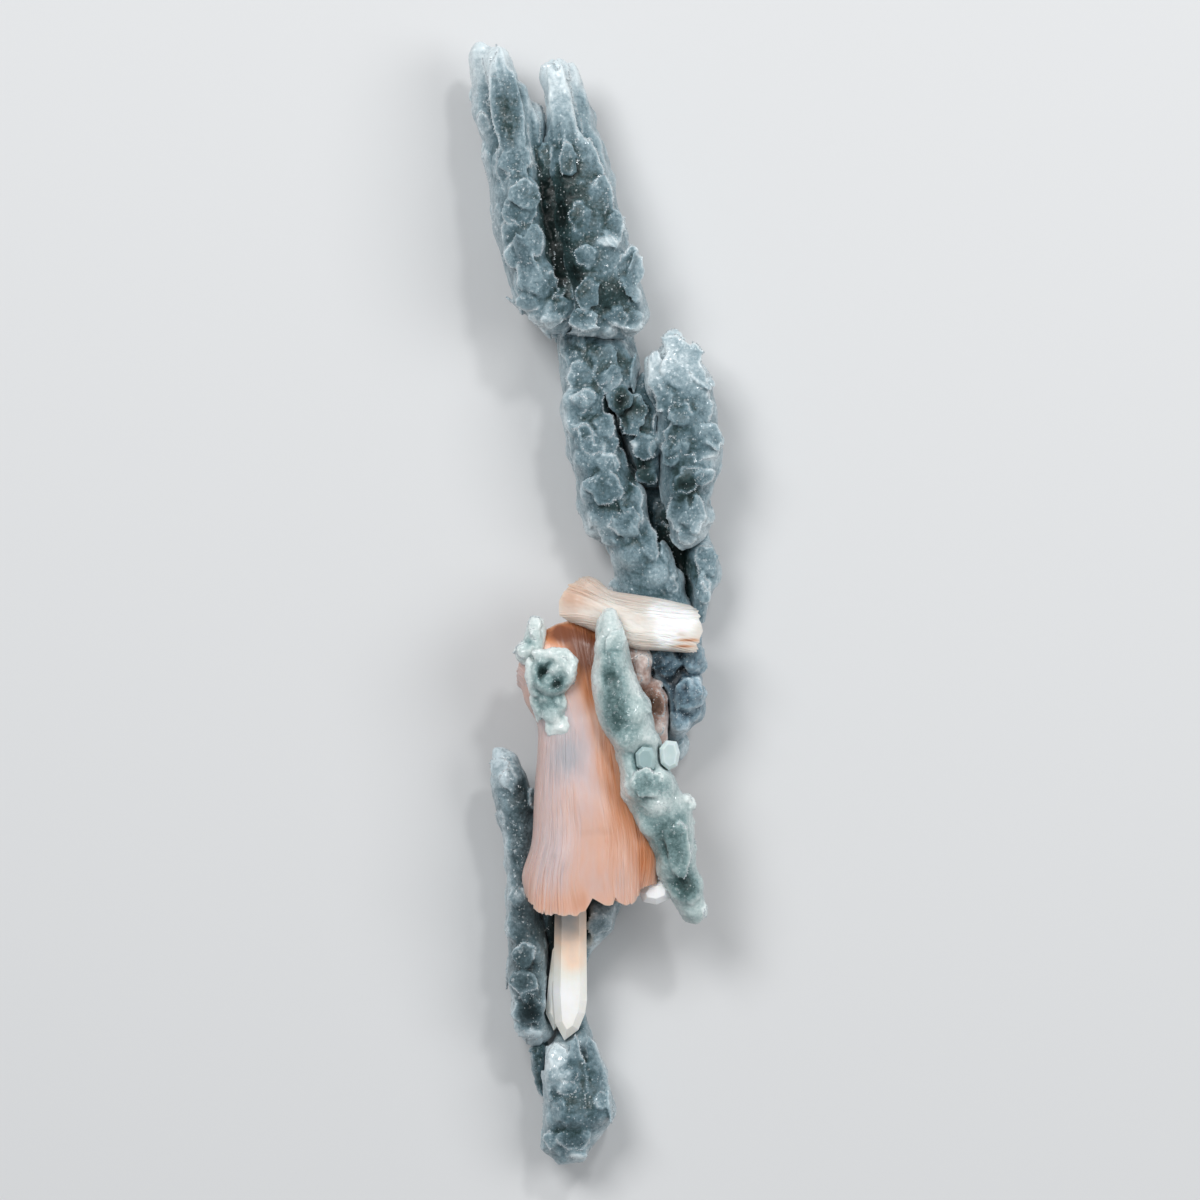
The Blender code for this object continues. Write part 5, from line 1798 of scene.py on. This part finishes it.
@dataclass
class Studio:
    """Pale floor, soft lights and the camera that looks down on the spray.

    Attributes:
        view_mm: Width of the view at the specimen's middle height.
        aim_mm: Point that the camera looks at.
        lens: Focal length in millimetres, long because the photograph is flat.
    """

    view_mm: float = 180.0
    aim_mm: tuple[float, float, float] = (0.75, 0.2, 12.0)
    lens: float = 250.0
    sensor: float = 36.0
    floor_size: float = 4.0

    def build(self) -> None:
        """Build floor, world, lights and camera."""
        self.lay_floor()
        self.light_world()
        self.add_light("key", (-0.34, 0.42, 0.75), 0.38, 4.6)
        self.add_light("fill", (0.55, 0.10, 0.60), 0.45, 2.4)
        self.add_light("glint", (0.22, 0.46, 0.62), 0.08, 1.2)
        self.place_camera()

    def lay_floor(self) -> None:
        """Plain matt floor under the specimen."""
        bm = bmesh.new()
        bmesh.ops.create_grid(bm, x_segments=1, y_segments=1, size=self.floor_size / 2 / MM)
        floor = as_piece("floor", bm)
        floor.data.transform(Matrix.Diagonal((MM, MM, MM, 1)))
        matt = bpy.data.materials.new("matt_paper")
        matt.use_nodes = True
        shader = matt.node_tree.nodes["Principled BSDF"]
        shader.inputs["Base Color"].default_value = linear("#dadbdc")
        shader.inputs["Roughness"].default_value = 0.9
        floor.data.materials.append(matt)

    def light_world(self) -> None:
        """Weak even light from all round."""
        world = bpy.data.worlds.new("studio")
        world.use_nodes = True
        sky = world.node_tree.nodes["Background"]
        sky.inputs["Color"].default_value = linear("#eef2f6")
        sky.inputs["Strength"].default_value = 0.28
        bpy.context.scene.world = world

    def add_light(self, name: str, place: tuple[float, float, float], size: float, power: float) -> None:
        """Add a square soft light that faces the specimen.

        Args:
            name: Name of the light.
            place: Place in metres.
            size: Side of the lit square in metres.
            power: Power in watts.
        """
        lamp = bpy.data.lights.new(name, "AREA")
        lamp.size = size
        lamp.energy = power
        holder = bpy.data.objects.new(name, lamp)
        holder.location = place
        holder.rotation_euler = Vector(place).to_track_quat("Z", "Y").to_euler()
        bpy.context.scene.collection.objects.link(holder)

    def place_camera(self) -> None:
        """Camera straight above, with its view as wide as the photograph's."""
        lens = bpy.data.cameras.new("camera")
        lens.lens = self.lens
        lens.sensor_width = self.sensor
        lens.clip_end = 10.0
        holder = bpy.data.objects.new("camera", lens)
        distance = self.view_mm * self.lens / self.sensor
        x, y, z = self.aim_mm
        holder.location = (x * MM, y * MM, (z + distance) * MM)
        bpy.context.scene.collection.objects.link(holder)
        bpy.context.scene.camera = holder


CHALCEDONY = ChalcedonyFinish(
    "chalcedony_skin", ("#0c1817", "#2e4445", "#5e7780", "#97acb4", "#d8e4e8")
)
PALE_CHALCEDONY = ChalcedonyFinish(
    "pale_chalcedony_skin", ("#1c2c2b", "#4b6565", "#819b9c", "#b6c8c7", "#e2ebe9"), level=0.48
)
DARK_CHALCEDONY = ChalcedonyFinish(
    "dark_chalcedony_skin", ("#070c10", "#1e2d36", "#475f6d", "#829daa", "#ccdde6"), level=0.4
)
SLATE_CHALCEDONY = ChalcedonyFinish(
    "slate_chalcedony_skin", ("#0a1212", "#233438", "#475b61", "#7d929a", "#c4d3d9"), level=0.37
)
PINK_STILBITE = StilbiteFinish(
    "pink_stilbite_plates", ("#b4b1b6", "#d6c1bf", "#deb19c", "#c98459", "#7d4526")
)
# Its white first shade is reached where the painted highlight lies on the bow-tie's right facet.
PALE_STILBITE = StilbiteFinish(
    "pale_stilbite_plates", ("#ffffff", "#e6e1da", "#dcc7b8", "#cfa081", "#9c5c36"), streaks=80.0, contrast=0.2
)
CREAM_STILBITE = CrystalFinish("cream_stilbite_blade", ("#b6baba", "#f8dcc6", "#f1efe6", "#ffffff"))
WHITE_HEULANDITE = CrystalFinish("white_heulandite_tablet", ("#eef0f3", "#fbfbfc", "#ffffff"))
HEULANDITE = CrystalFinish("heulandite_tablet", ("#8ca8aa", "#aec7c8", "#e2f0f0"), clear=0.15, roughness=0.15)
BROWN_STILBITE = ChalcedonyFinish(
    "brown_stilbite_druse", ("#2a1c15", "#64493b", "#97776a", "#c0aaa2", "#e4dad5"), patch_mm=2.5
)
QUARTZ = CrystalFinish(
    "drusy_quartz", ("#c3ced3", "#e2eaed", "#fbfdfe"), clear=0.1, roughness=0.1, glow=(0.4, 0.4, 0.4)
)

PALE_BRANCHES = (FRONT_FINGER, SMALL_WHITE_FINGER, HOLLOW_RING)
SLATE_BRANCHES = (BACK_STEM, LOWER_LEFT_FINGER)
GREY_BRANCHES = (
    UPPER_LEFT, UPPER_RIGHT, MAIN_STEM, INNER_LOBE, RIGHT_LOBE, RIGHT_LOWER_BLADE, BACK_STUB,
    FOOT_CLUSTER, FOOT_BACK_FINGER,
)


def main() -> None:
    """Build the specimen piece by piece, then the studio round it."""
    logging.basicConfig(level=logging.INFO, format="%(message)s")
    bpy.context.scene.view_settings.view_transform = "Standard"
    quartz = QUARTZ.build()
    for finish, branches in (
        (CHALCEDONY, GREY_BRANCHES),
        (PALE_CHALCEDONY, PALE_BRANCHES),
        (SLATE_CHALCEDONY, SLATE_BRANCHES),
        (DARK_CHALCEDONY, (SIDE_BALLS,)),
    ):
        material = finish.build()
        for branch in branches:
            branch.build(material, quartz)
    FAN.build(PINK_STILBITE.build())
    BOW_TIE.build(PALE_STILBITE.build())
    CREAM_BLADE.build(CREAM_STILBITE.build())
    WHITE_CRYSTAL.build(WHITE_HEULANDITE.build())
    tablet = HEULANDITE.build()
    PLATE_FRONT.build(tablet)
    PLATE_SIDE.build(tablet)
    SIDE_CRYSTALS.build(BROWN_STILBITE.build(), quartz)
    Studio().build()


if __name__ == "__main__":
    main()
